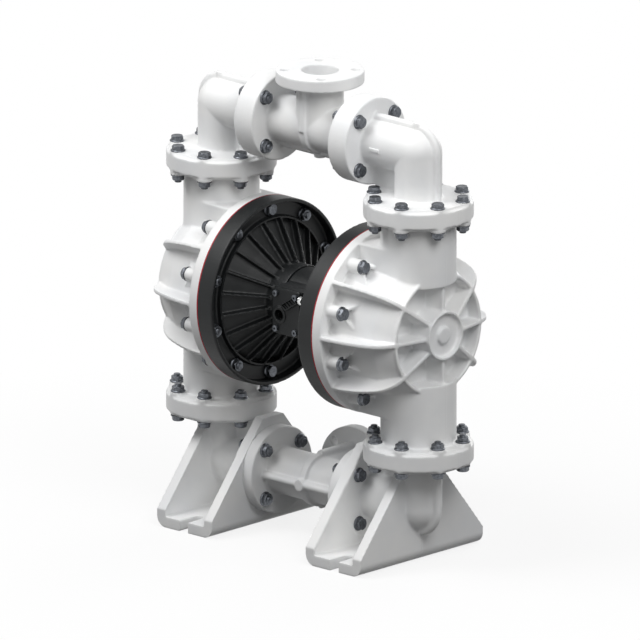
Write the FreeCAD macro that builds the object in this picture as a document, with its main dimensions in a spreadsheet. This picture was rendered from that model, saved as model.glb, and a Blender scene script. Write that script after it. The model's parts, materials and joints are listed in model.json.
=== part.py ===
import FreeCAD, Part
import math
import os
import re
import Sketcher
from FreeCAD import Placement, Rotation, Vector

# Air operated double diaphragm pump in moulded plastic, 3 inch ports.
# +X runs along the shaft, +Y to the back, +Z up. The origin is on the floor under the middle.
# Two valve columns carry the fluid caps and stand on feet; two tees join them, one low, one high.

# Driving sizes in millimetres: name, size, what it is.
sizes = [
    ("inlet_height", 122, "floor to the axis of the inlet manifold"),
    ("elbow_leg", 122.5, "manifold axis to the face of a column flange"),
    ("cap_half_height", 269.5, "shaft axis to the end of a fluid cap's column"),
    ("column_offset", 290, "middle of the pump to the axis of a column"),
    ("tee_half", 138, "middle of the pump to the face of a tee's run flange"),
    ("tee_neck", 127, "run axis to the face of a tee's neck flange"),
    ("pipe_radius", 51, "outside radius of a manifold pipe"),
    ("pipe_bore", 40, "bore radius of a manifold pipe"),
    ("port_flange_radius", 95.25, "outside radius of a manifold flange"),
    ("port_flange_thick", 27, "thickness of a manifold flange"),
    ("port_bolt_circle", 76.2, "bolt circle radius of a manifold flange"),
    ("port_hole_radius", 9.5, "radius of a bolt hole in an open manifold flange"),
    ("keel_radius", 9, "radius of the round ribs along tees and elbows"),
    ("keel_reach", 56, "pipe axis to the axis of a round rib"),
    ("tee_boss_radius", 13, "radius of the boss where a tee's ribs cross"),
    ("tee_boss_reach", 68, "run axis to the face of that boss"),
    ("tee_hoop_radius", 58, "outside radius of the hoop round a tee's run"),
    ("elbow_boss_radius", 11, "radius of the boss on an elbow's corner"),
    ("elbow_boss_reach", 66, "pipe axis to the face of that boss"),
    ("web_thick", 16, "thickness of the web in an elbow's throat"),
    ("column_radius", 81.5, "outside radius of a column"),
    ("column_flange_radius", 118.5, "outside radius of a column flange"),
    ("column_flange_thick", 17.5, "thickness of one disc of a column joint"),
    ("column_bolt_circle", 101.5, "bolt circle radius of a column joint"),
    ("elbow_plate_thick", 6, "height of the eight-sided plate on an elbow's flange"),
    ("cap_plate_thick", 6, "height of the eight-sided plate on a cap's flange"),
    ("cap_boss_height", 11, "height of the bolt bosses on a cap's flange"),
    ("cap_boss_radius", 17, "radius of the bolt bosses on a cap's flange"),
    ("foot_half_length", 190, "middle of a foot to its end"),
    ("foot_inner_reach", 152, "column axis to the inner side of a foot"),
    ("foot_outer_reach", 10, "column axis to the outer side of a foot"),
    ("foot_web_thick", 25, "thickness of a foot's two side webs"),
    ("foot_base_thick", 24, "thickness of a foot's base"),
    ("foot_corner", 28, "radius of the lower corners of a foot"),
    ("foot_shoulder", 39, "floor to where a foot's web starts to slope"),
    ("foot_top_half", 31.5, "half the width of a foot's web at its top"),
    ("slot_radius", 12, "half the width of a slot in a foot"),
    ("slot_depth", 55, "length of a slot from the end of a foot"),
    ("slot_offset", 69, "column axis to the middle of a slot"),
    ("diaphragm_plane", 168.5, "middle of the pump to the middle of a diaphragm's rim"),
    ("diaphragm_thick", 3, "thickness of a diaphragm at its rim"),
    ("rim_radius", 204, "outside radius of both chamber halves"),
    ("cap_rim_face", 193.5, "middle of the pump to the outer face of a fluid cap's rim"),
    ("ledge_radius", 176, "inside radius of the flat ledge on a fluid cap's rim"),
    ("pocket_reach", 184, "middle of the pump to the floor of the pockets inside the ledge"),
    ("dome_foot_radius", 165, "radius of a fluid cap's dome at its foot"),
    ("dome_waist_reach", 300, "middle of the pump to the waist of the dome"),
    ("dome_waist_radius", 152, "radius of the dome at its waist"),
    ("ring_radius", 134, "outside radius of the ring on a fluid cap"),
    ("ring_thick", 8, "thickness of that ring"),
    ("ring_reach", 350, "middle of the pump to the edge of that ring"),
    ("ring_floor_reach", 315, "middle of the pump to the floor inside the ring"),
    ("hub_radius", 54, "outside radius of a fluid cap's hub"),
    ("hub_reach", 372, "middle of the pump to the face of the hub"),
    ("hub_wall", 6, "thickness of the wall round the hub's recess"),
    ("hub_recess", 11, "depth of the hub's recess"),
    ("hub_boss_radius", 18.5, "radius of the boss in the hub"),
    ("hub_boss_height", 8, "height of the boss in the hub"),
    ("root", 2, "depth to which a rib or boss is rooted in its wall"),
    ("lap", 1, "overlap of joined shapes of one casting"),
    ("cap_rib_thick", 9, "thickness of the ribs on a fluid cap"),
    ("cap_rib_angle", 36, "angle between the ribs on a fluid cap"),
    ("cap_rib_shoulder_reach", 305, "middle of the pump to the shoulder of a rib"),
    ("cap_rib_shoulder_radius", 184, "radius of the shoulder of a rib"),
    ("cap_rib_long_arc", 340, "arc radius of a rib's edge from rim to shoulder"),
    ("cap_rib_short_arc", 72, "arc radius of a rib's edge from shoulder to ring"),
    ("column_cut_height", 108, "shaft axis to the end of the round column on the dome"),
    ("neck_half_height", 188, "shaft axis to the end of the flat-sided neck"),
    ("chamber_radius", 150, "radius of the pumping chamber"),
    ("chamber_waist_radius", 138, "radius of the pumping chamber inside the dome's waist"),
    ("chamber_wall", 9, "wall between the chamber and the floor inside the ring"),
    ("valve_bore", 66, "bore radius of a column round its ball valve"),
    ("valve_shoulder", 165, "shaft axis to the shoulder at the end of a valve bore"),
    ("passage_bore", 50, "bore radius between a valve and the chamber"),
    ("clamp_inset", 24, "edge of the rim to the ring of clamp bolts"),
    ("clamp_boss_radius", 15.5, "radius of the clamp bosses on a fluid cap"),
    ("clamp_boss_reach", 225, "middle of the pump to the face of a clamp boss"),
    ("gusset_thick", 5, "thickness of the gussets beside a clamp boss"),
    ("gusset_length", 37, "axis of a clamp bolt to the far end of a gusset"),
    ("gusset_reach", 221, "middle of the pump to the edge of a gusset"),
    ("gusset_spread", 46, "angle between a gusset and the line to the shaft axis"),
    ("air_rim_reach", 126, "middle of the pump to the inner edge of an air cap's rim"),
    ("air_rim_wall", 8, "thickness of an air cap's outer wall"),
    ("air_ledge_reach", 150, "middle of the pump to the ledge under the nuts"),
    ("air_wall_radius", 163, "outside radius of the wall round an air cap's dish"),
    ("air_wall_thick", 5, "thickness of that wall"),
    ("air_wall_reach", 138, "middle of the pump to the edge of that wall"),
    ("dish_rim_reach", 152, "middle of the pump to the outer edge of the dish floor"),
    ("dish_waist_reach", 122, "middle of the pump to the waist of the dish floor"),
    ("dish_waist_radius", 115, "radius of the dish at its waist"),
    ("dish_hub_reach", 90, "middle of the pump to the dish floor at the collar"),
    ("air_floor", 10, "wall of the dish"),
    ("collar_radius", 74, "outside radius of an air cap's collar"),
    ("collar_rib_reach", 73, "middle of the pump to a rib's edge at the collar"),
    ("air_ribs", 20, "number of ribs in an air cap"),
    ("air_rib_thick", 5, "thickness of the ribs in an air cap"),
    ("centre_radius", 70, "outside radius of the centre body"),
    ("centre_half", 46, "half the length of the centre body"),
    ("pad_half_width", 41, "half the width of the air valve"),
    ("pad_half_height", 51, "half the height of the air valve"),
    ("pad_reach", 72, "shaft axis to the face that carries the air valve"),
    ("gasket_thick", 1.5, "thickness of the air valve's gasket"),
    ("block_depth", 24.5, "depth of the air valve's block"),
    ("cover_depth", 8, "depth of the air valve's cover"),
    ("spool_height", 35, "shaft axis to the axis of the spool"),
    ("spool_bore", 9, "bore radius round the spool"),
    ("spool_fit", 0.05, "clearance between spool and bore"),
    ("spool_groove", 3, "depth of the spool's grooves"),
    ("spool_half", 24, "half the length of the spool"),
    ("spool_plug_length", 10, "length of a plug inside the spool bore"),
    ("spool_plug_head", 5, "length of a plug outside the block"),
    ("inlet_side", 18, "middle of the pump to the axis of the air inlet"),
    ("inlet_drop", 8, "shaft axis to the axis of the air inlet, downwards"),
    ("air_inlet_bore", 12, "radius of the air inlet"),
    ("air_inlet_boss", 19, "radius of the boss round the air inlet"),
    ("air_inlet_depth", 22, "depth of the air inlet from the cover's face"),
    ("exhaust_reach", 92, "shaft axis to the face of the exhaust boss"),
    ("exhaust_boss", 26, "radius of the exhaust boss"),
    ("exhaust_bore", 17, "bore radius of the exhaust"),
    ("muffler_radius", 24, "outside radius of the muffler"),
    ("muffler_length", 84, "length of the muffler outside the port"),
    ("muffler_neck", 16, "length of the muffler's neck in the port"),
    ("rod_radius", 14, "radius of the shaft between the diaphragms"),
    ("rod_fit", 0.05, "clearance between the shaft and its bushings"),
    ("bushing_wall", 6, "wall of a shaft bushing"),
    ("bushing_length", 60, "length of a shaft bushing"),
    ("inner_plate_radius", 104, "radius of a diaphragm's air side plate"),
    ("inner_plate_edge", 6, "thickness of the air side plate at its edge"),
    ("inner_plate_hub", 12, "thickness of the air side plate at the shaft"),
    ("outer_plate_radius", 108, "radius of a diaphragm's fluid side plate"),
    ("outer_plate_edge", 6, "thickness of the fluid side plate at its edge"),
    ("outer_plate_hub", 26, "thickness of the fluid side plate at the shaft"),
    ("plate_hub_radius", 46, "radius of the raised middle of both plates"),
    ("roll_half", 15, "half the width of the roll moulded in a diaphragm"),
    ("roll_radius", 18, "radius of that roll"),
    ("roll_circle", 130, "radius of the ring that the roll follows"),
    ("shaft_nut_flats", 36, "width across flats of a shaft nut"),
    ("shaft_nut_height", 19, "height of a shaft nut"),
    ("shaft_end", 5, "length of the shaft beyond its nut"),
    ("pilot_radius", 5, "radius of the pilot rod"),
    ("pilot_offset", 38, "shaft axis to the axis of the pilot rod, upwards"),
    ("pilot_fit", 0.3, "clearance round the pilot rod"),
    ("pilot_proud", 5.5, "length of the pilot rod inside each air chamber"),
    ("ball_radius", 40, "radius of a valve ball"),
    ("ball_gap", 0.3, "gap between a ball and its seat"),
    ("seat_bore", 33, "bore radius of a valve seat"),
    ("seat_thick", 14, "thickness of a valve seat"),
    ("seat_lip", 4, "size of the bevel round a seat's bore"),
    ("valve_fit", 0.4, "clearance round seats and cages"),
    ("cage_wall", 14, "radial width of a cage's ring"),
    ("cage_bar", 12, "width of a cage's bars and legs"),
    ("cage_top", 8, "thickness of a cage's ring and bars"),
    ("leg_clearance", 2.5, "gap between a ball and the legs of its cage"),
    ("bolt_flats", 24, "width across flats of the joint bolts and nuts"),
    ("bolt_head_height", 12.5, "height of a joint bolt's head"),
    ("bolt_radius", 8, "radius of a joint bolt"),
    ("stud_proud", 6, "length of a bolt beyond its nut"),
    ("screw_head_radius", 7, "radius of a cover screw's head"),
    ("screw_head_height", 6, "height of a cover screw's head"),
    ("screw_half_width", 28.5, "middle to a cover screw, sideways"),
    ("screw_half_height", 39, "middle to a cover screw, up and down"),
]

# Heights of the main planes, from the sizes above.
low_joint = "(inlet_height + elbow_leg)"
shaft = "(inlet_height + elbow_leg + cap_half_height)"
high_joint = "(inlet_height + elbow_leg + 2 * cap_half_height)"
outlet_axis = "(inlet_height + 2 * elbow_leg + 2 * cap_half_height)"
clamp_circle = "(rim_radius - clamp_inset)"
# Where the two chamber halves meet the diaphragm between them.
cap_face = "(diaphragm_plane + diaphragm_thick / 2)"
air_face = "(diaphragm_plane - diaphragm_thick / 2)"
# Centre of a ball above the underside of its seat.
ball_rise = "(seat_thick - seat_lip + sqrt((ball_radius + ball_gap)^2 - seat_bore^2))"
# Axis of the spool, in front of the shaft.
spool_y = "(-pad_reach - gasket_thick - block_depth / 2)"
# Height of a cage, from seat to the face that holds it.
cage_height = "(cap_half_height - valve_shoulder - seat_thick)"
bolts_per_joint = 8
bolts_per_port = 4
bolts_per_clamp = 10
turn = 360

doc = FreeCAD.newDocument("DiaphragmPump")
sheet = doc.addObject("Spreadsheet::Sheet", "Sizes")
for row, (name, value, note) in enumerate(sizes, 1):
    sheet.set(f"A{row}", name)
    sheet.set(f"B{row}", str(value))
    sheet.set(f"C{row}", note)
    sheet.setAlias(f"B{row}", name)
doc.recompute()
names = re.compile(r"\b(" + "|".join(name for name, value, note in sizes) + r")\b")

planes = {"X": "YZ_Plane", "Y": "XZ_Plane", "Z": "XY_Plane"}
sub_parts = []


def cell(text):
    """The same expression, with each size pointed at its cell."""
    return names.sub(r"Sizes.\1", text)


def size(text):
    """The number that an expression of sizes gives."""
    return float(sheet.evalExpression(text))


def bind(thing, **properties):
    for name, text in properties.items():
        thing.setExpression(name, cell(text))


def place(thing, x="0", y="0", z="0", rotation=None):
    """Put an object at a point given in sizes, turned if it has to be."""
    if rotation is not None:
        thing.Placement = Placement(Vector(), rotation)
    for axis, text in zip("xyz", (x, y, z)):
        thing.setExpression(f".Placement.Base.{axis}", cell(text))


def keep(thing, label):
    """Mark an object as a sub-part: its label names its node and its file."""
    if thing.TypeId == "PartDesign::Body":
        # Faces are merged once, at the last feature, which keeps the rebuild quick.
        for feature in thing.Group:
            if hasattr(feature, "Refine"):
                feature.Refine = feature == thing.Tip
    thing.Label = label
    sub_parts.append(thing)
    return thing


def origin(body, role):
    """A plane or axis of a body's own origin."""
    return next(item for item in body.Origin.OriginFeatures if item.Role == role)


def attach(thing, body, along, offset):
    """Attach to the body's plane across an axis, at an offset given in X, Y and Z."""
    x, y, z = offset
    thing.AttachmentSupport = [(origin(body, planes[along]), "")]
    thing.MapMode = "FlatFace"
    local = {"X": (y, z, x), "Y": (x, z, f"-({y})"), "Z": (x, y, z)}[along]
    for axis, text in zip("xyz", local):
        thing.setExpression(f".AttachmentOffset.Base.{axis}", cell(text))


def drum(body, name, along, radius, start, end, across=("0", "0"), cut=False):
    """A round bar or bore along an axis, from start to end, centred at across."""
    kind = "PartDesign::SubtractiveCylinder" if cut else "PartDesign::AdditiveCylinder"
    feature = body.newObject(kind, name)
    a, b = across
    # The plane across Y looks to -Y, so a bar along Y is laid from its far end.
    offset = {"X": (start, a, b), "Y": (a, end, b), "Z": (a, b, start)}[along]
    attach(feature, body, along, offset)
    bind(feature, Radius=radius, Height=f"({end}) - ({start})")
    return feature


def drums(body, name, along, radius, start, length, centres, cut=False):
    """Several equal round bars or holes in one feature, growing from start along the axis."""
    sketch = body.newObject("Sketcher::SketchObject", name)
    attach(sketch, body, along, (start, "0", "0") if along == "X" else ("0", "0", start))
    for index, centre in enumerate(centres):
        place_now = Vector(size(centre[0]), size(centre[1]), 0)
        sketch.addGeometry(Part.Circle(place_now, Vector(0, 0, 1), size(radius)), False)
        for kind, text in (("DistanceX", centre[0]), ("DistanceY", centre[1])):
            fix(sketch, text, kind, -1, 1, index, 3, size(text))
        fix(sketch, radius, "Radius", index, size(radius))
    return pad(body, sketch, length, cut=cut, reverse=cut)


def fix(sketch, text, *terms):
    """Add a constraint whose value follows an expression of sizes."""
    number = sketch.addConstraint(Sketcher.Constraint(*terms))
    sketch.setExpression(f"Constraints[{number}]", cell(text))


def slab(body, name, low, high, cut=False):
    """A box between two corners given in sizes."""
    kind = "PartDesign::SubtractiveBox" if cut else "PartDesign::AdditiveBox"
    feature = body.newObject(kind, name)
    attach(feature, body, "Z", low)
    spans = [f"({b}) - ({a})" for a, b in zip(low, high)]
    bind(feature, Length=spans[0], Width=spans[1], Height=spans[2])
    return feature


def arc_centre(start, end, radius, side):
    """Centre of an arc between two points that bulges to the left (1) or right (-1)."""
    chord = end - start
    middle = (start + end) * 0.5
    rise = math.sqrt(max(radius**2 - (chord.Length / 2) ** 2, 0))
    normal = Vector(chord.y, -chord.x, 0)
    normal.normalize()
    return middle + normal * rise * side


def outline(body, name, along, corners, closed=True, offset=("0", "0", "0"), tilt=None):
    """A sketch of straight runs and arcs through corners given in sizes.

    A corner is (across, up), or (across, up, radius, side) where an arc comes to it.
    """
    sketch = body.newObject("Sketcher::SketchObject", name)
    if tilt is not None:
        sketch.AttachmentOffset = Placement(Vector(), tilt)
    attach(sketch, body, along, offset)
    points = [Vector(size(corner[0]), size(corner[1]), 0) for corner in corners]
    count = len(corners)
    for index in range(count if closed else count - 1):
        start = points[index]
        end = points[(index + 1) % count]
        arrival = corners[(index + 1) % count]
        if len(arrival) == 2:
            sketch.addGeometry(Part.LineSegment(start, end), False)
        else:
            radius = size(arrival[2])
            side = arrival[3]
            centre = arc_centre(start, end, radius, side)
            out = (start + end) * 0.5 - centre
            out.normalize()
            # An arc in a sketch runs anticlockwise, so one that bulges left is drawn from its end.
            first, last = (end, start) if side > 0 else (start, end)
            sketch.addGeometry(Part.Arc(first, centre + out * radius, last), False)
    ends = []
    for index in range(count if closed else count - 1):
        edge = sketch.Geometry[index]
        forward = (edge.StartPoint - points[index]).Length < 1e-6
        ends.append((1, 2) if forward else (2, 1))
    for index, corner in enumerate(corners):
        if index < len(ends):
            edge, end = index, ends[index][0]
        else:
            edge, end = index - 1, ends[index - 1][1]
        if index > 0 and index < len(ends):
            pair = (index - 1, ends[index - 1][1], edge, end)
            sketch.addConstraint(Sketcher.Constraint("Coincident", *pair))
        for kind, text in (("DistanceX", corner[0]), ("DistanceY", corner[1])):
            fix(sketch, text, kind, -1, 1, edge, end, size(text))
        if len(corner) > 2:
            arc = index - 1 if index > 0 else count - 1
            fix(sketch, corner[2], "Radius", arc, size(corner[2]))
    if closed:
        pair = (len(ends) - 1, ends[-1][1], 0, ends[0][0])
        sketch.addConstraint(Sketcher.Constraint("Coincident", *pair))
    return sketch


def pad(body, sketch, length, reverse=False, middle=False, cut=False):
    kind = "PartDesign::Pocket" if cut else "PartDesign::Pad"
    feature = body.newObject(kind, sketch.Name + "Pad")
    feature.Profile = sketch
    feature.Reversed = reverse
    if middle:
        feature.SideType = "Symmetric"
    bind(feature, Length=length)
    return feature


def revolve(body, sketch, cut=False, axis="H_Axis"):
    kind = "PartDesign::Groove" if cut else "PartDesign::Revolution"
    feature = body.newObject(kind, sketch.Name + "Turned")
    feature.Profile = sketch
    feature.ReferenceAxis = (sketch, [axis])
    feature.Angle = turn
    return feature


def pipe(body, spine, radius, start):
    """A round bar along a spine that starts square to the horizontal plane."""
    ring = body.newObject("Sketcher::SketchObject", spine.Name + "Ring")
    attach(ring, body, "Z", ("0", "0", start[2]))
    centre = Vector(size(start[0]), size(start[1]), 0)
    ring.addGeometry(Part.Circle(centre, Vector(0, 0, 1), size(radius)), False)
    for kind, text in (("DistanceX", start[0]), ("DistanceY", start[1])):
        fix(ring, text, kind, -1, 1, 0, 3, size(text))
    fix(ring, radius, "Radius", 0, size(radius))
    feature = body.newObject("PartDesign::AdditivePipe", spine.Name + "Pipe")
    feature.Profile = ring
    feature.Spine = spine
    return feature


def new_body(name):
    return doc.addObject("PartDesign::Body", name)


def mirrored(source, label):
    """The same casting for the other side of the pump."""
    twin = doc.addObject("Part::Mirroring", label)
    twin.Source = source
    twin.Normal = Vector(1, 0, 0)
    return keep(twin, label)


def around(count, index, first=0.5):
    """Angle of one of a ring of bolts that straddles the centre lines."""
    return turn / count * (index + first)


def ring(radius, count, centre="0"):
    """Centres of a ring of bolts, given in sizes."""
    centres = []
    for index in range(count):
        angle = around(count, index)
        centres.append((f"{centre} + {radius} * cos({angle})", f"{radius} * sin({angle})"))
    return centres


def tee(label):
    """Manifold tee: two run flanges, a neck flange, round ribs and a hoop."""
    body = new_body(label)
    drum(body, label + "Run", "X", "pipe_radius", "-tee_half", "tee_half")
    for side, start, end in (
        ("Left", "-tee_half", "port_flange_thick - tee_half"),
        ("Right", "tee_half - port_flange_thick", "tee_half"),
    ):
        drum(body, label + side, "X", "port_flange_radius", start, end)
    drum(body, label + "Neck", "Z", "pipe_radius", "0", "tee_neck")
    drum(body, label + "Top", "Z", "port_flange_radius", "tee_neck - port_flange_thick", "tee_neck")
    rib = ("0", "-keel_reach")
    drum(body, label + "Keel", "X", "keel_radius", "lap - tee_half", "tee_half - lap", rib)
    drum(body, label + "Boss", "Z", "tee_boss_radius", "-tee_boss_reach", "0")
    drum(body, label + "Hoop", "X", "tee_hoop_radius", "-keel_radius", "keel_radius")
    for side, across in (("Front", "-keel_reach"), ("Back", "keel_reach")):
        drum(body, label + side, "Z", "keel_radius", "0", "tee_neck - lap", ("0", across))
    drum(body, label + "Bore", "X", "pipe_bore", "-tee_half", "tee_half", cut=True)
    drum(body, label + "Port", "Z", "pipe_bore", "0", "tee_neck", cut=True)
    holes = ring("port_bolt_circle", bolts_per_port)
    start = "tee_neck - port_flange_thick"
    drums(body, label + "Holes", "Z", "port_hole_radius", start, "port_flange_thick", holes, cut=True)
    return body


def eight_sided(body, name, start, thick, reverse=False, centre="0"):
    """The raised plate whose corners reach the flange's rim at the bolts."""
    corners = ring("column_flange_radius", bolts_per_joint, centre)
    sketch = outline(body, name, "Z", corners, offset=("0", "0", start))
    return pad(body, sketch, thick, reverse)


def elbow(label, up):
    """Elbow from a manifold flange to a column flange above (1) or below (-1) it."""
    body = new_body(label)
    face = f"({up} * elbow_leg)"
    port = "(tee_half - column_offset)"
    bend(body, label, "pipe_radius", face, port)
    start, end = sorted(("0", f"{-up} * elbow_boss_reach"), key=size)
    drum(body, label + "Boss", "Z", "elbow_boss_radius", start, end)
    start, end = (face, f"({face} + column_flange_thick)")
    if up > 0:
        start, end = (f"({face} - column_flange_thick)", face)
    drum(body, label + "Flange", "Z", "column_flange_radius", start, end)
    plate = start if up > 0 else end
    eight_sided(body, label + "Plate", plate, "elbow_plate_thick", reverse=up > 0)
    drum(body, label + "Port", "X", "port_flange_radius", port, f"{port} + port_flange_thick")
    keel_start = f"{up} * (elbow_leg - column_flange_thick / 2)"
    keel = outline(
        body,
        label + "Keel",
        "Y",
        [
            ("keel_reach", keel_start),
            ("keel_reach", "0"),
            ("0", f"-{up} * keel_reach", "keel_reach", up),
            (f"{port} + port_flange_thick / 2", f"-{up} * keel_reach"),
        ],
        closed=False,
    )
    pipe(body, keel, "keel_radius", ("keel_reach", "0", keel_start))
    web = outline(
        body,
        label + "Web",
        "Y",
        [
            ("0", "0"),
            (f"{port} + port_flange_thick / 2", "0"),
            (f"{port} + port_flange_thick / 2", f"{up} * (port_flange_radius - 2 * keel_radius)"),
            ("-column_flange_radius + 2 * keel_radius", f"{up} * (elbow_leg - column_flange_thick / 2)"),
            ("0", f"{up} * (elbow_leg - column_flange_thick / 2)"),
        ],
    )
    pad(body, web, "web_thick", middle=True)
    return body


def bend(body, label, radius, face, port, cut=False):
    """A level and an upright leg that meet in a ball at the corner."""
    name = label + ("Bore" if cut else "Pipe")
    drum(body, name + "Level", "X", radius, port, "0", cut=cut)
    start, end = sorted((face, "0"), key=size)
    drum(body, name + "Upright", "Z", radius, start, end, cut=cut)
    kind = "PartDesign::SubtractiveSphere" if cut else "PartDesign::AdditiveSphere"
    corner = body.newObject(kind, name + "Corner")
    attach(corner, body, "Z", ("0", "0", "0"))
    bind(corner, Radius=radius)


def foot(body, label):
    """Foot cast on a lower elbow: a slotted base between two sloping webs."""
    floor = "-inlet_height"
    corner = "foot_half_length - foot_corner"
    rise = f"{floor} + foot_corner"
    top = "elbow_leg - column_flange_thick / 2"
    # The rounded end of the base stops at the base's top, a little short of upright.
    end = f"{corner} + sqrt(foot_corner ^ 2 - (foot_corner - foot_base_thick) ^ 2)"
    base = [
        (f"-({corner})", floor, "foot_corner", -1),
        (corner, floor),
        (end, f"{floor} + foot_base_thick", "foot_corner", -1),
        (f"-({end})", f"{floor} + foot_base_thick"),
    ]
    web = [
        (f"-({corner})", floor, "foot_corner", -1),
        (corner, floor),
        ("foot_half_length", rise, "foot_corner", -1),
        ("foot_half_length", f"{floor} + foot_shoulder"),
        ("foot_top_half", top),
        ("-foot_top_half", top),
        ("-foot_half_length", f"{floor} + foot_shoulder"),
        ("-foot_half_length", rise),
    ]
    inner = "-foot_inner_reach"
    outer = "foot_outer_reach - foot_web_thick"
    sketch = outline(body, label + "Base", "X", base, offset=(inner, "0", "0"))
    pad(body, sketch, "foot_inner_reach + foot_outer_reach")
    for side, start in (("Inner", inner), ("Outer", outer)):
        sketch = outline(body, label + side, "X", web, offset=(start, "0", "0"))
        pad(body, sketch, "foot_web_thick")


def slot(body, label):
    """Slots open at both ends of the foot."""
    floor = "-inlet_height"
    top = f"{floor} + foot_base_thick"
    middle = "-slot_offset"
    reach = "foot_half_length - slot_depth + slot_radius"
    for side, sign in (("Front", "-"), ("Back", "")):
        across = (middle, f"{sign}({reach})")
        drum(body, label + side + "End", "Z", "slot_radius", floor, top, across, cut=True)
        ends = sorted((f"{sign}({reach})", f"{sign}(foot_half_length)"), key=size)
        low = (f"{middle} - slot_radius", ends[0], floor)
        high = (f"{middle} + slot_radius", ends[1], top)
        slab(body, label + side + "Slot", low, high, cut=True)


def outlet_elbow():
    body = elbow("outlet_elbow_right", -1)
    bend(body, "Outlet", "pipe_bore", "-elbow_leg", "(tee_half - column_offset)", cut=True)
    place(body, x="column_offset", z=outlet_axis)
    return keep(body, "outlet_elbow_right")


def foot_elbow():
    body = elbow("foot_elbow_right", 1)
    foot(body, "Foot")
    bend(body, "Foot", "pipe_bore", "elbow_leg", "(tee_half - column_offset)", cut=True)
    slot(body, "Foot")
    place(body, x="column_offset", z="inlet_height")
    return keep(body, "foot_elbow_right")


def cap_shell(body):
    """Rim, dome, ring and hub in one turning about the shaft axis."""
    profile = [
        (cap_face, "0"),
        (cap_face, "rim_radius"),
        ("cap_rim_face", "rim_radius"),
        ("cap_rim_face", "ledge_radius"),
        ("pocket_reach", "ledge_radius"),
        ("pocket_reach", "dome_foot_radius"),
        ("dome_waist_reach", "dome_waist_radius"),
        ("ring_reach - ring_thick", "ring_radius"),
        ("ring_reach", "ring_radius"),
        ("ring_reach", "ring_radius - ring_thick"),
        ("ring_floor_reach", "ring_radius - ring_thick"),
        ("ring_floor_reach", "hub_radius"),
        ("hub_reach", "hub_radius"),
        ("hub_reach", "0"),
    ]
    revolve(body, outline(body, "CapProfile", "Z", profile))
    recess = "hub_reach - hub_recess"
    hub_bore = "hub_radius - hub_wall"
    drum(body, "HubRecess", "X", hub_bore, recess, "hub_reach", cut=True)
    drum(body, "HubBoss", "X", "hub_boss_radius", recess, f"{recess} + hub_boss_height")


def cap_column(body):
    """Round column above and below the dome, and the flat-sided neck behind it."""
    neck = ("column_radius", "neck_half_height")
    low = (cap_face, f"-{neck[0]}", f"-{neck[1]}")
    slab(body, "Neck", low, ("column_offset",) + neck)
    ends = (("Lower", "-cap_half_height", "-column_cut_height"), ("Upper", "column_cut_height", "cap_half_height"))
    for side, start, end in ends:
        drum(body, side + "Column", "Z", "column_radius", start, end, ("column_offset", "0"))


def cap_flanges(body):
    """Column flanges with an eight-sided plate on the side of the nuts."""
    for side, sign in (("Lower", "-"), ("Upper", "")):
        inner = f"{sign}(cap_half_height - column_flange_thick)"
        start, end = sorted((inner, f"{sign}cap_half_height"), key=size)
        centre = ("column_offset", "0")
        drum(body, side + "Flange", "Z", "column_flange_radius", start, end, centre)
        inwards = sign == ""
        eight_sided(body, side + "Plate", inner, "cap_plate_thick", inwards, "column_offset")


def cap_joint_bosses(body):
    """A boss under each nut of the column joints."""
    centres = ring("column_bolt_circle", bolts_per_joint, "column_offset")
    start = "-cap_half_height + column_flange_thick"
    drums(body, "LowerBosses", "Z", "cap_boss_radius", start, "cap_boss_height", centres)
    start = "cap_half_height - column_flange_thick - cap_boss_height"
    drums(body, "UpperBosses", "Z", "cap_boss_radius", start, "cap_boss_height", centres)


def cap_ribs(body):
    """Curved ribs that fan from the rim over the ring to the hub, and the upright pair."""
    fan = [
        ("pocket_reach - root", "dome_foot_radius - root"),
        ("pocket_reach - root", "rim_radius - lap"),
        ("cap_rim_face", "rim_radius - lap"),
        ("cap_rib_shoulder_reach", "cap_rib_shoulder_radius", "cap_rib_long_arc", 1),
        ("ring_reach", "ring_radius", "cap_rib_short_arc", 1),
        ("hub_reach - hub_wall", "hub_radius - root"),
        ("ring_floor_reach - root", "hub_radius - root"),
        ("ring_floor_reach - root", "ring_radius - ring_thick / 2"),
        ("dome_waist_reach", "dome_waist_radius - root"),
    ]
    reach = "column_cut_height + root"
    low = ("ring_floor_reach - root", "-cap_rib_thick / 2")
    high = ("hub_reach - hub_wall", "cap_rib_thick / 2")
    slab(body, "UprightUp", low + ("hub_radius - root",), high + (reach,))
    slab(body, "UprightDown", low + (f"-({reach})",), high + ("root - hub_radius",))
    for side in (0, 180):
        for step in (-1, 0, 1):
            angle = side + step * size("cap_rib_angle")
            name = f"Rib{int(angle) % turn}"
            tilt = Rotation(Vector(1, 0, 0), angle)
            sketch = outline(body, name, "Z", fan, tilt=tilt)
            pad(body, sketch, "cap_rib_thick", middle=True)


def cap_clamp_bosses(body):
    """Bosses on the rim under the heads of the clamp bolts; the top and bottom bolts have none."""
    centres = ring(clamp_circle, bolts_per_clamp)
    spots = [centre for index, centre in enumerate(centres) if around(bolts_per_clamp, index) % 180 != 90]
    start = "(pocket_reach - root)"
    drums(body, "ClampBosses", "X", "clamp_boss_radius", start, f"clamp_boss_reach - {start}", spots)


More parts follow.
